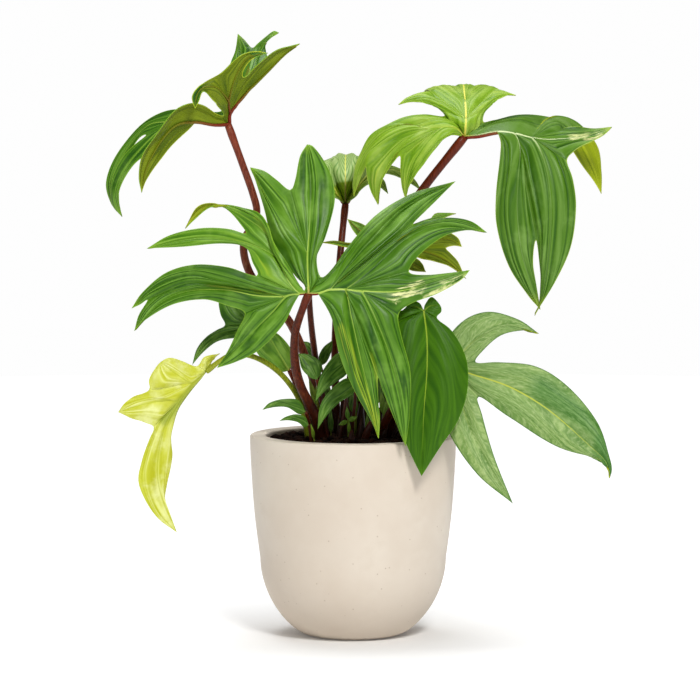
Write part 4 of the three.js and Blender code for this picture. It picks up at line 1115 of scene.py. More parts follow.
def thicken(bm):
    """Makes a closed shell: a copy of the sheet is sunk, joined by a rim and turned over."""
    outward = bm.verts.layers.float_vector["outward"]
    for vert in bm.verts:
        vert[outward] = vert.normal
    top = set(bm.faces)
    made = bmesh.ops.extrude_face_region(bm, geom=bm.faces[:], use_keep_orig=True)["geom"]
    under = {part for part in made if isinstance(part, bmesh.types.BMFace)}
    for vert in made:
        if isinstance(vert, bmesh.types.BMVert):
            vert.co -= vert[outward] * THICKNESS
    bmesh.ops.reverse_faces(bm, faces=[face for face in bm.faces if face not in top])
    layers = [bm.loops.layers.float[name] for name in CORNER_LAYERS]
    known = {
        corner.vert: [corner[layer] for layer in layers]
        for face in bm.faces if face in top or face in under for corner in face.loops
    }
    for face in bm.faces:
        face.smooth = True
        if face in under:
            face.material_index = 1 - face.material_index
        elif face not in top:
            for corner in face.loops:
                for layer, value in zip(layers, known[corner.vert]):
                    corner[layer] = value
            for edge in face.edges:
                if any(other in top or other in under for other in edge.link_faces):
                    edge.smooth = False


print("a blade is", THICKNESS, "mm thick")

# %% Raised ribs
SINK = 1.3
RIB_END = 0.97
FORK_RIB = 0.6
UNDER_SHEET = 0.15


def rib_radius(size, along):
    return size * (1 - 0.8 * along) + 0.2


def add_ribs(bm, ribs, look, normal_at, sheet):
    """Adds the ribs as tubes on the underside, sunk until none comes through the sheet."""
    for index, rib in ribs.items():
        first = rib["shared"] * FINE
        along = share_along(rib["line"])
        share = FORK_RIB if rib["shared"] else 1.0
        path, radii = [], []
        for point, s in list(zip(rib["line"], along))[first::3]:
            if s > RIB_END:
                break
            radius = rib_radius(look["rib"] * share, s)
            normal = normal_at(point)
            centre = sheet.find_nearest(Vector(point))[0] - normal * (SINK * radius + 0.1)
            for _ in range(3):
                short = radius + 0.2 - sheet.find_nearest(centre)[3]
                centre -= normal * min(max(short, 0), 0.5)
            if rib["shared"] and len(path) < 3:
                centre -= normal * (1.2 - 0.4 * len(path))
            path.append(centre)
            radii.append(radius)
        if len(path) < 3:
            continue
        tone = own_share(look, "tone", index)
        values = {"from_rib": 0.0, "to_edge": 9.0, "tone": tone, "pale_rib": 1.0}
        small = tube(path, radii, 8, values)
        for vert in small.verts:
            near, upward, _, gap = sheet.find_nearest(vert.co)
            if gap < 2.5 and (vert.co - near).dot(upward) > -UNDER_SHEET:
                vert.co = near - upward * UNDER_SHEET
        layer = small.loops.layers.float["along"]
        for face in small.faces:
            face.material_index = 1
            for corner in face.loops:
                corner[layer] = along[first] + (RIB_END - along[first]) * corner[layer]
        absorb(bm, small)


print("a rib thins from", rib_radius(1.1, 0), "to", round(rib_radius(1.1, RIB_END), 2), "mm")

# %% Leaf maker
def make_leaf(name, leaf, look, materials):
    ribs, halves = half_fingers(leaf)
    bm = bmesh.new()
    bm.verts.layers.float.new("rise")
    bm.verts.layers.int.new("fixed")
    bm.verts.layers.float_vector.new("outward")
    for layer in CORNER_LAYERS:
        bm.loops.layers.float.new(layer)
    seed = sum(map(ord, name)) % 17
    for half in halves:
        lay_half(bm, half, look, leaf, ribs, seed)
    bmesh.ops.remove_doubles(bm, verts=bm.verts, dist=0.02)
    bmesh.ops.dissolve_degenerate(bm, edges=bm.edges, dist=0.002)
    fixed = bm.verts.layers.int["fixed"]
    rise = bm.verts.layers.float["rise"]
    inner = [v for v in bm.verts if not v.is_boundary and not v[fixed]]
    for _ in range(look["soften"]):
        bmesh.ops.smooth_vert(
            bm, verts=inner, factor=0.5, use_axis_x=True, use_axis_y=True, use_axis_z=True
        )
    bm.normal_update()
    tree = kdtree.KDTree(len(bm.verts))
    normals = [v.normal.copy() for v in bm.verts]
    for k, vert in enumerate(bm.verts):
        tree.insert(vert.co, k)
    tree.balance()
    for vert, normal in zip(bm.verts, normals):
        vert.co += normal * vert[rise]
    bm.normal_update()
    sheet = bvhtree.BVHTree.FromBMesh(bm)
    thicken(bm)
    add_ribs(bm, ribs, look, lambda point: normals[tree.find(point)[1]], sheet)
    return finish_mesh(bm, "leaf_" + name, materials)


print("leaves to make", len(LEAVES))

# %% [markdown]
# ## Leaf finish
# The green of a leaf is several greens. The furrows are painted deepest and the swellings between
# them lighter, as shade in the folds, and the crests carry a painted sheen in patches. Thin dark
# lines in the furrow bottoms are veins and painted shade. Thin streaks run with the furrows, and a
# slow mottle changes the whole leaf. The rib is a yellow-green line that fades towards the tip.
# Some fingers carry cream flecks or a glow of yellow, and some are of another tone, which the tints
# with _2 give. All of this reads the attributes of the blade, so it bends with each finger. The
# leaf reflects little, so that its greens stay full, and a satin roughness spreads the shine of the
# lamps along the folds. The underside is a second, duller finish. `USUAL` holds what most leaves
# share.

# %% Leaf finish
CREAM = (226, 228, 160)
YELLOW = (196, 214, 58)
USUAL = dict(
    mottle=24.0, mottling=0.4, stripes_and_furrow_shade=0.5, painted_sheen=0.4, dashes=0.0, groove_shade_lines=0.5, rim=0.95, rimming=0.55,
    rib_width=1.0, blush=(0.0, 0.06), shine=0.26,
)


def leaf_finish(name, tints, gloss):
    tints = {**USUAL, **tints}
    look = Finish(name)
    along, across = look.attribute("along"), look.attribute("across")
    from_rib, to_edge = look.attribute("from_rib"), look.attribute("to_edge")
    furrow, tone = look.attribute("furrow"), look.attribute("tone")
    streak, glow = look.attribute("streak"), look.attribute("glow")
    where = look.place()
    ridge = furrow.ridges()
    threads = look.grain(look.vector(furrow * 1.0, along * 1.1, across * 0.4), 3.0, 2.5, 0.45)
    fine = look.grain(look.vector(furrow * 7.0, along * 4.0, 0.0), 3.0, 2.0)
    mottle = look.grain(where, tints["mottle"], 4.0, 0.6)
    dashes = look.grain(look.vector(furrow * 2.4, along * 8.0, 0.0), 3.0, 4.0, 0.65)

    deep = look.mix(tone, tints["deep"], tints.get("deep_2", tints["mid"]))
    middle = look.mix(tone, tints["mid"], tints.get("mid_2", tints["light"]))
    pale = look.mix(tone, tints["light"], tints.get("light_2", tints["light"]))
    # Painted shade: by the weight of the ridges, the furrows take the deep green and the swellings
    # the middle green, so the folds look shaded. On the striped leaf the same mix draws its pale
    # stripes.
    stripes_and_furrow_shade = tints["stripes_and_furrow_shade"]
    uneven = look.grain(look.vector(furrow * 0.8, along * 1.3, across), 2.1, 2.0).fade(0.3, 0.62)
    shade = (ridge.fade(0.0, 0.9) * stripes_and_furrow_shade + threads.fade(0.25, 0.75) * (1 - stripes_and_furrow_shade)).clamp()
    base = look.mix(shade, deep, middle)
    # Painted highlight: the crests of the swellings turn pale green in patches, as a sheen of the
    # lamps on the folds.
    painted_sheen = ridge.fade(0.4, 1.0) * threads.fade(0.3, 0.75) * uneven
    base = look.mix(painted_sheen * tints["painted_sheen"], base, pale)
    base = look.mix(mottle.fade(0.48, 0.74) * tints["mottling"], base, pale)
    base = look.mix(fine.fade(0.5, 0.8) * 0.05, base, pale)
    base = look.mix(dashes.fade(0.45, 0.7) * tints["dashes"], base, pale)
    base = look.mix((1 - dashes).fade(0.5, 0.72) * tints["dashes"], base, deep)
    # Painted shade: thin deep-green lines in the furrow bottoms, which are the veins and the shade
    # in the grooves.
    groove_shade = (1 - ridge).fade(0.66, 1.0) * (uneven * 0.6 + 0.4)
    base = look.mix(groove_shade * tints["groove_shade_lines"], base, deep)

    lit = (glow * 1.3 + threads * 1.4 - 1.15).fade(0.0, 0.7) * glow.fade(0.0, 0.2)
    base = look.mix(lit * 0.85, base, YELLOW)
    blotch = look.grain(look.vector(furrow * 0.8, along * 3.4, 1.7), 3.2, 4.0, 0.6)
    cream = (blotch + streak * 0.45).fade(0.54, 0.72) * streak.fade(0.02, 0.2)
    base = look.mix(cream * 0.92, base, CREAM)

    base = look.mix(along.fade(0.9, 1.0) * 0.5, base, tints["margin"])
    rim = 1 - to_edge.fade(0.2, tints["rim"])
    base = look.mix(rim * tints["rimming"], base, tints["margin"])
    rib_width = (1 - along) * tints["rib_width"] + 0.25
    beside = 1 - (from_rib / rib_width).fade(0.6, 1.0)
    rib = look.mix(tone, tints["rib"], tints.get("rib_2", tints["rib"]))
    vein = look.mix(along.fade(*tints["blush"]), tints["foot"], rib)
    base = look.mix(beside * look.attribute("pale_rib"), base, vein)

    look.set(Base_Color=base, Roughness=threads * 0.14 + gloss)
    look.set(Specular_IOR_Level=tints["shine"])
    look.bump(ridge * uneven * 0.5 + threads * 0.3 + fine * 0.03, 0.0009, 0.4)
    return look.material


print("cream is", CREAM, "and yellow", YELLOW)

# %% Tints of the leaves
GREEN_TOP = dict(
    deep=(22, 70, 0), mid=(78, 128, 8), light=(138, 182, 78), groove_shade_lines=0.36, deep_2=(70, 124, 4),
    mid_2=(118, 168, 34), light_2=(176, 208, 100), margin=(142, 186, 44), rib=(164, 194, 74),
    foot=(176, 160, 80), rib_width=1.15,
)
# The light lime tints of the upper right leaf are partly its own young colour and partly painted
# light: the glow of the lamps shining through its thin blade.
FRESH_BACKLIT_TOP = dict(
    deep=(92, 138, 4), mid=(132, 170, 30), light=(184, 204, 104), groove_shade_lines=0.4, deep_2=(36, 84, 0),
    mid_2=(84, 128, 18), light_2=(142, 178, 98), margin=(180, 204, 60), rib=(216, 212, 84),
    foot=(216, 208, 80), rib_width=1.3, rib_2=(196, 212, 156),
)
DEEP_TOP = dict(
    deep=(36, 80, 0), mid=(62, 108, 0), light=(82, 130, 26), groove_shade_lines=0.2, painted_sheen=0.25, shine=0.16,
    margin=(84, 138, 14), rib=(140, 166, 36), foot=(150, 166, 50), mottling=0.2, rib_width=0.7,
    stripes_and_furrow_shade=0.3,
)
SHADE_TOP = dict(
    deep=(30, 72, 0), mid=(72, 118, 16), light=(142, 178, 88), groove_shade_lines=0.4, painted_sheen=0.5,
    deep_2=(100, 140, 10), mid_2=(140, 170, 40), light_2=(180, 200, 90), margin=(90, 140, 50),
    rib=(110, 150, 60), foot=(110, 120, 50), rimming=0.3, rib_width=0.6,
)
SAGE_TOP = dict(
    deep=(76, 120, 40), mid=(140, 170, 92), light=(192, 210, 146), deep_2=(48, 100, 24),
    mid_2=(84, 132, 58), light_2=(126, 166, 98), margin=(46, 100, 14), rib=(192, 200, 70),
    foot=(200, 196, 60), rim=1.7, rimming=0.75, mottle=60.0, mottling=0.2, stripes_and_furrow_shade=0.3, groove_shade_lines=0.2,
    painted_sheen=0.3, dashes=0.5,
)
STRIPED_TOP = dict(
    deep=(84, 130, 40), mid=(160, 186, 110), light=(200, 214, 160), deep_2=(72, 98, 0),
    mid_2=(104, 130, 8), light_2=(124, 148, 30), margin=(140, 176, 74), rib=(210, 208, 84),
    foot=(96, 90, 14), blush=(0.12, 0.3), stripes_and_furrow_shade=0.8, rib_width=1.3,
)
GOLD_TOP = dict(
    deep=(116, 132, 0), mid=(152, 164, 14), light=(184, 192, 50), deep_2=(64, 112, 10),
    mid_2=(108, 154, 40), light_2=(158, 192, 90), margin=(170, 180, 50), rib=(150, 160, 40),
    foot=(140, 130, 40), groove_shade_lines=0.4,
)
LIME_TOP = dict(
    deep=(178, 182, 10), mid=(206, 212, 74), light=(236, 240, 172), deep_2=(116, 136, 30),
    mid_2=(160, 174, 60), light_2=(186, 194, 100), margin=(190, 196, 34), rib=(160, 170, 24),
    foot=(150, 160, 30), rim=0.9, mottle=40.0, mottling=0.7, groove_shade_lines=0.35, painted_sheen=0.6, stripes_and_furrow_shade=0.25,
)
OLIVE_UNDER = dict(
    deep=(70, 92, 0), mid=(108, 126, 2), light=(144, 158, 38), deep_2=(112, 132, 0),
    mid_2=(146, 162, 10), light_2=(172, 184, 44), margin=(186, 196, 44), rib=(104, 110, 4),
    foot=(120, 44, 26), blush=(0.1, 0.5), mottling=0.25, shine=0.2, rimming=0.8, groove_shade_lines=0.5,
)
LIME_UNDER = dict(LIME_TOP, mid=(196, 202, 62), mottling=0.4)
FINISHES = {
    "green": leaf_finish("leaf_green", GREEN_TOP, 0.34),
    "fresh": leaf_finish("leaf_fresh_backlit", FRESH_BACKLIT_TOP, 0.36),
    "deep": leaf_finish("leaf_deep", DEEP_TOP, 0.36),
    "shade": leaf_finish("leaf_shade", SHADE_TOP, 0.38),
    "sage": leaf_finish("leaf_sage", SAGE_TOP, 0.45),
    "striped": leaf_finish("leaf_striped", STRIPED_TOP, 0.42),
    "gold": leaf_finish("leaf_gold", GOLD_TOP, 0.45),
    "lime": leaf_finish("leaf_lime", LIME_TOP, 0.5),
    "olive": leaf_finish("underside_olive", OLIVE_UNDER, 0.52),
    "lime_under": leaf_finish("underside_lime", LIME_UNDER, 0.55),
}
print("leaf finishes", sorted(FINISHES))

# %% [markdown]
# ## Making the leaves
# Each leaf has its own look: how strongly it is furrowed, how much it swells, how wavy its edge
# is and which fingers are streaked. A patch is a stroke on the leaf, from one point to another,
# with its size and its strength, and where patches overlap the strongest counts. `rib_line` says
# how plainly each rib shows from its foot to its tip, and `turned_over` names the fingers that
# curl so far that their underside shows. Large mature leaves are deeply furrowed, and the small
# ones near the soil are nearly smooth.

# %% Looks of the leaves
LARGE = dict(
    mesh=1.6, rib=1.1, furrows=1.8, slant=1.2, swell=0.12, pleat=2.8, wave=0.8, waves=3.0, soften=3,
    turned_over={}, streak={}, glow={}, tone={}, patches={}, wavy={},
    rib_line={"all": ((0, 0.5, 1), (0.9, 0.4, 0.1))},
)
SMALL = dict(
    LARGE, mesh=1.2, rib=0.6, furrows=1.3, pleat=0.8, wave=0.5, soften=2,
    rib_line={"all": ((0, 1), (0.5, 0))},
)
LEAF_LOOKS = {
    "upper_left": dict(
        LARGE, swell=0.07, pleat=1.9, rib=1.4,
        turned_over={5: (0.84, 2), 6: (0.78, 2), 3: (-1, 0.5)},
    ),
    "upper_right": dict(
        LARGE, rib=1.5, swell=0.07, pleat=3.2, tone={8: 1.0, 9: 1.0, 10: 1.0, 11: 1.0},
        glow={0: 0.25, 1: 0.3, 2: 0.25}, turned_over={8: (0.72, 2)},
        wavy={4: 2.4, 5: 3.0, 6: 2.4}, waves=3.4,
        patches={"streak": [((207, 481), (240, 484), 5, 0.22)]},
        rib_line={
            "all": ((0, 0.15, 0.4), (0.8, 0.3, 0)), 5: ((0, 1), (1, 1)), 8: ((0, 1), (0, 0)),
            9: ((0, 0.2, 0.6, 0.85), (0.5, 1, 1, 0)), 10: ((0.25, 0.36), (0.9, 0.1)),
            11: ((0.2, 0.34), (0.9, 0.1)),
        },
    ),
    "front": dict(
        LARGE, pleat=2.4, tone={3: 0.65, 4: 0.6, 5: 0.2, 6: 0.05, 0: 0.1},
        patches={
            "glow": [
                ((-112, 392), (-70, 345), 13, 0.3), ((-12, 305), (26, 205), 10, 0.52),
                ((18, 282), (27, 232), 5, 0.5), ((-92, 408), (-84, 396), 8, 0.4),
            ],
            "streak": [
                ((38, 333), (62, 343), 9, 0.32), ((70, 332), (114, 352), 6, 0.3),
                ((84, 347), (112, 354), 4, 0.2),
            ],
        },
        rib_line={
            "all": ((0, 0.3, 1), (0.9, 0.4, 0)), 1: ((0, 0.5, 0.7), (1, 0.8, 0.1)),
            2: ((0.1, 0.3), (0.5, 0)), 5: ((0.2, 0.32), (0.5, 0)),
            6: ((0, 0.3, 0.5, 1), (1, 0.8, 0.2, 0)), 7: ((0.1, 0.2), (0.6, 0)),
            8: ((0.18, 0.28), (0.6, 0)), 9: ((0, 0.55, 0.75), (1, 0.95, 0)),
            10: ((0.22, 0.34, 1), (0.7, 0.35, 0)), 11: ((0.18, 0.3, 1), (0.8, 0.6, 0.3)),
        },
    ),
    "back": dict(
        LARGE, furrows=3.0, slant=13.0, pleat=1.2, tone={3: 0.8, 4: 0.8},
        patches={"tone": [((-12, 429), (20, 436), 9, 3.0), ((-7, 418), (-7, 424), 9, 3.0)]},
        rib_line={"all": ((0, 1), (0.6, 0.2)), 2: ((0, 1), (1, 1))},
    ),
    "back_right": dict(
        LARGE, tone={3: 1.0, 4: 1.0, 5: 1.0}, turned_over={4: (-1, 2), 5: (-1, 2)},
    ),
    "right": dict(
        LARGE, furrows=2.6, slant=6.0, pleat=0.9, rib=1.0,
        rib_line={"all": ((0, 1), (0.5, 0.1)), 1: ((0, 0.55, 0.85), (0.9, 0.8, 0.1))},
    ),
    "pale": dict(
        LARGE, furrows=2.4, slant=3.0, pleat=1.4, tone={1: 0.12, 0: 0.1},
        patches={"tone": [((180, 244), (232, 210), 19, 0.85), ((236, 198), (250, 150), 16, 1.0)]},
        rib_line={"all": ((0, 0.5), (0.4, 0)), 1: ((0, 0.6, 1), (1, 0.8, 0.3))},
    ),
    "lime": dict(
        LARGE, pleat=1.1, wave=1.4, furrows=1.6,
        patches={"tone": [((-136, 262), (-180, 216), 7, 0.9)]},
        rib_line={"all": ((0, 1), (0.6, 0.3))},
    ),
    "rear_left": dict(LARGE, pleat=1.4),
    # Painted light: the inner left leaf takes the lighter tints of its finish, which lift it out of
    # the shade between the stalks.
    "inner_left": dict(LARGE, pleat=1.2, tone={"all": 0.8}),
}
print("leaves with a look of their own", len(LEAF_LOOKS))

# %% Leaves
TOP_OF = {
    "upper_left": "green", "upper_right": "fresh", "front": "green", "back": "striped",
    "back_right": "gold", "right": "deep", "pale": "sage", "lime": "lime", "inner_left": "green",
}
UNDERSIDE_OF = {"lime": "lime_under", "young": "shade"}
leaf_pieces = {}
for leaf_name, leaf in LEAVES.items():
    look = LEAF_LOOKS.get(leaf_name, SMALL)
    sides = [TOP_OF.get(leaf_name, "shade"), UNDERSIDE_OF.get(leaf_name, "olive")]
    leaf_pieces[leaf_name] = make_leaf(leaf_name, leaf, look, [FINISHES[side] for side in sides])
    print(leaf_name, "faces", len(leaf_pieces[leaf_name].data.polygons))

# %% [markdown]
# ## Stalks
# A leaf stalk is round, thickest in the soil and a little swollen under the leaf. It is a tube
# along its route. Its red-brown skin is streaked lengthwise and blotched, and towards the soil it
# darkens, partly its own colour and partly painted shade among the stalks. One stalk is rosier
# than the others, and the stalk of the lime leaf is green. Two stubs are bare and end bluntly.

# %% Stalk maker
STALK_ROOT = 14.0
SOIL_TOP = 189.0
TAPER = 0.7


def make_stalk(name, radii_at_ends, foot, route, material):
    points = [(*foot, SOIL_TOP - STALK_ROOT), (*foot, SOIL_TOP)]
    points += [placed(*point) for point in route]
    if name in LEAVES:
        points.append(placed(*STALK_ENDS.get(name, LEAVES[name]["junction"])))
    spans = len(points) - 1
    line = section(points, 0, spans, spans * 8)
    along = share_along(line)
    low, high = radii_at_ends
    radii = []
    for point, s in zip(line, along):
        radius = low + (high - low) * s ** TAPER
        swelling = 0.16 * math.exp(-((s - 0.97) / 0.03) ** 2) + 0.12 * math.exp(-(s / 0.08) ** 2)
        lumps = 0.035 * noise.noise(Vector(point) * 0.06)
        blunt = 1.0 if name in LEAVES else math.sqrt(1 - 0.97 * s ** 6)
        radii.append(radius * (1 + swelling + lumps) * blunt)
    return finish_mesh(tube(line, radii, 16), "stalk_piece_" + name, [material])


print("stalks to make", len(STALKS))

# %% Stalk finish
def stalk_finish(name, tints):
    look = Finish(name)
    along = look.attribute("along")
    where = look.place()
    long_way = look.node("ShaderNodeMapping", None, {"Vector": where, "Scale": (1, 1, 0.12)})
    streaks = look.grain(long_way, 900.0, 4.0, 0.6)
    blotches = look.grain(where, 70.0, 4.0, 0.6)
    height = look.node("ShaderNodeSeparateXYZ", None, {"Vector": where}, output=2)
    base = look.mix(streaks.fade(0.35, 0.7), tints["dark"], tints["mid"])
    base = look.mix(blotches.fade(0.55, 0.8) * 0.45, base, tints["light"])
    base = look.mix(along.fade(0.75, 1.0) * 0.35, base, tints["top"])
    # Painted shade: below about 26 cm the stalk darkens towards the soil, partly its own darker
    # foot and partly the shade among the stalks at the base of the plant.
    base = look.mix((1 - height.fade(0.185, 0.26)) * 0.8, base, tints["foot"])
    look.set(Base_Color=base, Roughness=streaks * 0.2 + 0.3, Specular_IOR_Level=0.22)
    look.bump(streaks * 0.6 + blotches * 0.4, 0.0005, 0.4)
    return look.material


RED_STALK = dict(
    dark=(56, 15, 0), mid=(104, 38, 10), light=(144, 86, 44), top=(118, 42, 18), foot=(40, 13, 0),
)
GREEN_STALK = dict(
    dark=(96, 110, 10), mid=(146, 158, 34), light=(180, 184, 80), top=(180, 184, 60),
    foot=(90, 100, 16),
)
ROSY_STALK = dict(
    dark=(88, 32, 16), mid=(134, 66, 42), light=(170, 132, 96), top=(140, 56, 38), foot=(40, 13, 0),
)
red_stalk = stalk_finish("stalk_red", RED_STALK)
rosy_stalk = stalk_finish("stalk_rosy", ROSY_STALK)
green_stalk = stalk_finish("stalk_green", GREEN_STALK)
stalk_pieces = {}
for stalk_name, points in STALKS.items():
    material = {"lime": green_stalk, "upper_left": rosy_stalk}.get(stalk_name, red_stalk)
    stalk_pieces[stalk_name] = make_stalk(stalk_name, *points, material)
print("stalks", len(stalk_pieces))

# %% [markdown]
# ## Old sheaths and young shoots
# Between the stalks stand the dry sheaths of older leaves, which are pointed and half rolled, and
# a few young shoots with small green blades. The sheaths are brown, and near the soil they are
# painted nearly black, as the shade among the stalks. The solids leave these out. A sheath is a
# tube that narrows to a point. A shoot's blade is drawn between two points and given to the same
# leaf maker as the large ones.

# %% Sheaths
SHEATHS = [
    # across, back, height, radius, lean across, lean back
    (-24, 10, 46, 4.4, -7, 4), (-16, 20, 40, 4.8, -3, 5), (-9, 4, 52, 4.2, -2, 2),
    (-3, 24, 58, 4.6, 2, 6), (6, 6, 44, 5.0, 3, -2), (12, 22, 50, 5.0, 4, 5),
    (17, -6, 34, 5.2, 6, -6), (22, 10, 42, 5.0, 8, 2), (28, 22, 38, 4.6, 9, 8),
    (36, 6, 30, 4.6, 12, -2), (-32, 18, 34, 4.2, -9, 8), (4, 34, 40, 4.4, 0, 10),
    (-12, -18, 26, 4.0, -2, -3), (5, -26, 24, 4.2, 3, -5), (40, -10, 36, 3.8, 22, -12),
    (26, -20, 22, 4.0, 8, -6), (-34, -6, 26, 3.8, -8, -4), (-20, 32, 30, 4.2, -6, 9),
]
SHEATH_ROOT = 9
sheath_mesh = bmesh.new()
for k, (across, back, height, radius, lean_across, lean_back) in enumerate(SHEATHS):
    path, radii = [], []
    for s in [step / 9 for step in range(10)]:
        up = SOIL_TOP - SHEATH_ROOT + (height + SHEATH_ROOT) * s
        path.append((across + lean_across * s ** 1.5, back + lean_back * s ** 1.5, up))
        narrowing = 1 - 0.93 * max(s - 0.35, 0) ** 1.2 / 0.6
        radii.append(max(radius * narrowing + 0.4 * noise.noise(Vector((k, 6 * s, 0))), 0.4))
    absorb(sheath_mesh, tube(path, radii, 12))
# Dry brown sheaths; near the soil the stalk finish darkens them nearly black with painted shade.
DRY_SHEATH = dict(
    dark=(32, 12, 0), mid=(84, 38, 10), light=(120, 82, 40), top=(112, 72, 34), foot=(34, 13, 0),
)
sheaths = finish_mesh(sheath_mesh, "dry_sheaths", [stalk_finish("sheath_dry", DRY_SHEATH)])
print("sheaths", len(SHEATHS), "faces", len(sheaths.data.polygons))

# %% Shoots
SHOOTS = [
    # foot across, up, tip across, up, half width, back, tone
    ((-21.5, 196), (-22, 220), 2.8, -20, 0.0), ((-5, 208), (-14, 204), 2.4, -40, 0.4),
    ((-5, 208), (4, 212), 2.6, -40, 0.3), ((-5, 209), (-6, 222), 2.2, -40, 0.1),
    ((-4, 196), (-4, 208), 1.8, -42, 0.5), ((14, 198), (13.5, 215), 2.2, -28, 0.2),
    ((30, 213), (27, 237), 3.2, -16, 0.5), ((-38, 190), (-41, 205), 2.0, -42, 0.9),
    ((-35, 222), (-43, 250), 3.0, -12, 1.0), ((-34, 226), (-35, 246), 2.4, -8, 0.9),
    ((-25, 228), (-28, 252), 4.6, -4, 0.1), ((3, 226), (10, 244), 5.0, 2, 0.0),
    ((-7, 222), (0, 238), 4.2, -2, 0.0), ((21, 224), (18, 242), 4.0, 8, 0.2),
    ((0, 200), (18, 232), 4.6, 30, 0.1), ((-14, 205), (-30, 226), 4.0, 32, 0.3),
    ((24, 224), (26, 264), 6.0, -12, 0.0), ((30, 218), (37, 250), 4.4, -6, 0.2),
    ((30, 208), (36, 236), 3.4, -20, 0.4), ((2, 214), (-2, 236), 4.6, -8, 0.0),
]
shoot_pieces = []
for k, (foot, tip, half_width, back, tone) in enumerate(SHOOTS):
    start = Vector(foot)
    along = Vector(tip) - start
    side = Vector((-along.y, along.x)).normalized() * half_width
    outline = [(0.2, 0.75), (0.45, 1.0), (0.75, 0.6)]
    only_finger = {
        "rib": [[*(start + along * s), back - 5 * s] for s in (0.35, 0.7, 1.0)],
        "before": [[*(start + along * s + side * w), back - 4 * s] for s, w in outline],
        "after": [[*(start + along * s - side * w), back - 4 * s] for s, w in outline[::-1]],
    }
    leaf = {"junction": [*foot, back], "fingers": [only_finger]}
    look = dict(SMALL, mesh=0.9, rib=0.3, swell=0.2, pleat=0.3, tone={"all": tone})
    sides = [FINISHES["shade"], FINISHES["olive"]]
    shoot_pieces.append(make_leaf(f"shoot_{k + 1}", leaf, look, sides))
shoot_stems = bmesh.new()
for foot, _, _, back, _ in SHOOTS:
    end = placed(*foot, back)
    start = (end[0] * 0.9, end[1] * 0.9, SOIL_TOP - 6)
    absorb(shoot_stems, tube([start, (start + end) / 2, end], [1.1, 1.0, 0.7], 10))
shoot_pieces.append(finish_mesh(shoot_stems, "shoot_stems", [green_stalk]))
print("shoots", len(SHOOTS))

# %% [markdown]
# ## Pot
# The pot is cast concrete: nearly straight above, and rounded below to a narrow foot, with a
# thick wall and a softly rounded rim. A turned shape like this is a profile spun about the axis.
# Its skin is cream with slow clouds, fine brown specks and a few open pores. Just above the soil
# the inner wall is painted dark brown, as shade inside the mouth of the pot.

# %% Turned shapes
def turn_profile(profile, steps):
    """Spins a profile of (radius, height) points about the pot's axis."""
    bm = bmesh.new()
    chain = [bm.verts.new((x, 0, z)) for x, z in profile]
    for pair in zip(chain, chain[1:]):
        bm.edges.new(pair)
    bmesh.ops.spin(
        bm, geom=bm.verts[:] + bm.edges[:], axis=(0, 0, 1), cent=(0, 0, 0), steps=steps,
        angle=2 * math.pi, use_merge=True,
    )
    bmesh.ops.remove_doubles(bm, verts=bm.verts, dist=0.01)
    return bm


def smooth_faces(bm):
    for face in bm.faces:
        face.smooth = True


def bezier(points, steps):
    """Points on a Bezier curve, without its first one."""
    points = np.asarray(points, float)
    where = np.linspace(0, 1, steps + 1)[1:, None]
    n = len(points) - 1
    return sum(
        math.comb(n, k) * (1 - where) ** (n - k) * where ** k * points[k] for k in range(n + 1)
    )


print("half way on a round corner", bezier([(0, 0), (1, 0), (1, 1)], 2)[0])

# %% Pot
POT_RADIUS = 100.0
POT_HEIGHT = 195.0
POT_WALL = 15.5
POT_FLOOR = 14.0
FOOT_RADIUS = 42.0
BELLY_RADIUS = 90.5
BELLY_HEIGHT = 76.0
RIM_ROUNDING = 2.5
RIM_BAND = 6

inner = POT_RADIUS - POT_WALL
pot_profile = np.vstack([
    [(0, 0), (FOOT_RADIUS - 1.2, 0)],
    bezier([(FOOT_RADIUS - 1.2, 0), (FOOT_RADIUS, 0), (FOOT_RADIUS + 1.6, 0.4)], 3),
    bezier([(FOOT_RADIUS + 1.6, 0.4), (FOOT_RADIUS + 19, 2.2), (BELLY_RADIUS, 37),
            (BELLY_RADIUS, BELLY_HEIGHT)], 32),
    bezier([(BELLY_RADIUS, BELLY_HEIGHT), (99.5, 141),
            (POT_RADIUS, POT_HEIGHT - RIM_ROUNDING)], 24),
    bezier([(POT_RADIUS, POT_HEIGHT - RIM_ROUNDING), (POT_RADIUS, POT_HEIGHT),
            (POT_RADIUS - RIM_ROUNDING, POT_HEIGHT)], 8),
    bezier([(POT_RADIUS - RIM_ROUNDING, POT_HEIGHT), (inner + RIM_ROUNDING, POT_HEIGHT)], 3),
    bezier([(inner + RIM_ROUNDING, POT_HEIGHT), (inner, POT_HEIGHT),
            (inner, POT_HEIGHT - RIM_ROUNDING)], 8),
    bezier([(inner, POT_HEIGHT - RIM_ROUNDING), (BELLY_RADIUS - POT_WALL, BELLY_HEIGHT)], 12),
    bezier([(BELLY_RADIUS - POT_WALL, BELLY_HEIGHT), (BELLY_RADIUS - POT_WALL - 4, 40),
            (56, POT_FLOOR), (38, POT_FLOOR)], 12),
    [(0, POT_FLOOR)],
])
bm = turn_profile(pot_profile, 160)
bmesh.ops.recalc_face_normals(bm, faces=bm.faces)
for vert in bm.verts:
    if vert.co.z > 0.5:
        away = Vector((vert.co.x, vert.co.y, 0)) / POT_RADIUS
        vert.co += away * 0.35 * noise.noise(vert.co * 0.022)
        if vert.co.z > POT_HEIGHT - RIM_BAND:
            vert.co.z += 0.25 * noise.noise(vert.co * 0.03)
smooth_faces(bm)
print("pot profile", len(pot_profile), "points")

# %% Concrete
def scattered(look, where, scale, channel):
    """Scattered dots: how near a point is to the middle of its cell, and the cell's own number."""
    sockets = {"Vector": where, "Scale": scale, "Randomness": 1.0}
    gap = look.node("ShaderNodeTexVoronoi", None, sockets)
    tint = look.node("ShaderNodeTexVoronoi", None, sockets, output="Color")
    number = look.node("ShaderNodeSeparateColor", None, {"Color": tint}, output=channel)
    return 1 - gap, number


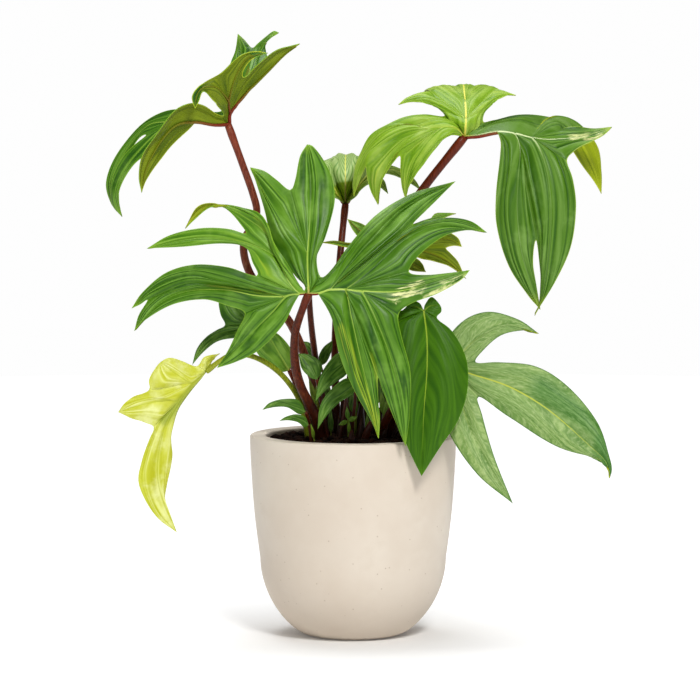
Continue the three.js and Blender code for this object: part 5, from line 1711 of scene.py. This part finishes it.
def concrete_finish():
    look = Finish("cast_concrete")
    where = look.place()
    clouds = look.grain(where, 9.0, 4.0, 0.55)
    patches = look.grain(where, 34.0, 5.0, 0.6)
    sand = look.grain(where, 1500.0, 2.0)
    dot, lot = scattered(look, where, 260.0, 0)
    speck = dot.fade(0.78, 0.86) * lot.fade(0.94, 0.96)
    dot, lot = scattered(look, where, 75.0, 1)
    pore = dot.fade(0.93, 0.97) * lot.fade(0.95, 0.97)
    base = look.mix(clouds.fade(0.3, 0.7), (212, 199, 183), (223, 213, 199))
    height = look.node("ShaderNodeSeparateXYZ", None, {"Vector": where}, output=2)
    axis_gap = {0: where, 1: look.vector(0.0, 0.0, height)}
    from_axis = look.node("ShaderNodeVectorMath", {"operation": "DISTANCE"}, axis_gap, "Value")
    # Painted shade: the inner wall just above the soil is painted dark brown, as shade inside the
    # mouth of the pot.
    near_soil = height.fade(0.15, 0.17) * (1 - height.fade(0.191, 0.195))
    inner_wall_shade = (1 - from_axis.fade(0.083, 0.0865)) * near_soil
    # Painted shade: the concrete darkens towards the foot, where the lower side of the pot turns
    # away from the lamps.
    base = look.mix((1 - height.fade(0.0, 0.1)) * 0.4, base, (196, 178, 158))
    base = look.mix(patches.fade(0.5, 0.8) * 0.25, base, (200, 184, 164))
    base = look.mix(sand.fade(0.62, 0.78) * 0.2, base, (196, 178, 156))
    base = look.mix(speck * 0.42, base, (150, 124, 98))
    base = look.mix(pore * 0.9, base, (104, 84, 66))
    base = look.mix(inner_wall_shade * 0.75, base, (104, 80, 54))
    look.set(Base_Color=base, Roughness=sand * 0.12 + 0.5, Specular_IOR_Level=0.35)
    look.bump(patches * 0.35 + sand * 0.18 - pore * 1.6 - speck * 0.15, 0.0006, 0.5)
    return look.material


pot = finish_mesh(bm, "concrete_pot", [concrete_finish()])
print("pot", len(pot.data.polygons), "faces")

# %% [markdown]
# ## Soil
# Potting soil is a dark crumbly mix. A disc with a lumpy surface carries several hundred loose
# crumbs. Each crumb is a small icosphere pushed out of round by noise, so it needs few faces.

# %% Soil
SOIL_EDGE = POT_RADIUS - POT_WALL - 1.2
SOIL_DEPTH = 24
CRUMBS = 800
chance = random.Random(7)


def soil_height(x, y):
    reach_out = min(math.hypot(x, y) / SOIL_EDGE, 1)
    mound = 3.4 * math.cos(reach_out * math.pi / 2)
    lumps = 3.0 * noise.noise(Vector((x, y, 3)) * 0.05)
    small_lumps = 1.6 * noise.noise(Vector((x, y, 9)) * 0.16)
    return SOIL_TOP + mound + (lumps + small_lumps)


bm = turn_profile(
    [*((SOIL_EDGE * k / 40, 0) for k in range(41)), (SOIL_EDGE, -SOIL_DEPTH)], 120
)
bmesh.ops.holes_fill(bm, edges=bm.edges, sides=0)
for vert in bm.verts:
    if vert.co.z > -1:
        vert.co.z = soil_height(vert.co.x, vert.co.y)
    else:
        vert.co.z = SOIL_TOP - SOIL_DEPTH
bmesh.ops.recalc_face_normals(bm, faces=bm.faces)
for _ in range(CRUMBS):
    angle = chance.uniform(0, 2 * math.pi)
    out = (SOIL_EDGE - 4) * math.sqrt(chance.random())
    size = chance.triangular(0.9, 6.0, 2.0)
    x, y = out * math.cos(angle), out * math.sin(angle)
    crumb = bmesh.new()
    bmesh.ops.create_icosphere(crumb, subdivisions=1, radius=size)
    for vert in crumb.verts:
        vert.co *= 1 + 0.35 * noise.noise(vert.co * 0.9 / size + Vector((x, y, 0)))
    squash = Matrix.Diagonal((chance.uniform(0.8, 1.5), 1, chance.uniform(0.5, 0.9), 1))
    turn = Matrix.Rotation(chance.uniform(0, math.pi), 4, "Z")
    shift = Matrix.Translation((x, y, soil_height(x, y) + size * 0.25))
    bmesh.ops.transform(crumb, matrix=shift @ turn @ squash, verts=crumb.verts)
    absorb(bm, crumb)
smooth_faces(bm)


def soil_finish():
    look = Finish("potting_soil")
    where = look.place()
    lumps = look.grain(where, 160.0, 5.0, 0.65)
    grit = look.grain(where, 900.0, 3.0)
    base = look.mix(lumps.fade(0.35, 0.7), (8, 4, 2), (44, 22, 10))
    base = look.mix(grit.fade(0.64, 0.76) * 0.35, base, (92, 58, 34))
    look.set(Base_Color=base, Roughness=0.92, Specular_IOR_Level=0.1)
    look.bump(lumps * 0.6 + grit * 0.4, 0.002, 0.8)
    return look.material


soil = finish_mesh(bm, "soil_bed", [soil_finish()])
print("soil", len(soil.data.polygons), "faces with", CRUMBS, "crumbs")

# %% [markdown]
# ## Putting the pieces on the frame
# Every piece rides on the one body of this part, and the solid that it takes the place of is
# hidden. The sheaths and shoots ride on the body too, in place of no solid.

# %% Riding and replacing
def dress(piece, node):
    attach(piece, "root")
    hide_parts(node)


dress(pot, "pot")
dress(soil, "soil")
for leaf_name, piece in leaf_pieces.items():
    dress(piece, "blade_" + leaf_name)
for stalk_name, piece in stalk_pieces.items():
    dress(piece, "stalk_" + stalk_name)
for piece, slot in [(sheaths, "stalk"), *((piece, "leaf") for piece in shoot_pieces)]:
    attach(piece, "root")

# %% Update
bpy.context.view_layer.update()
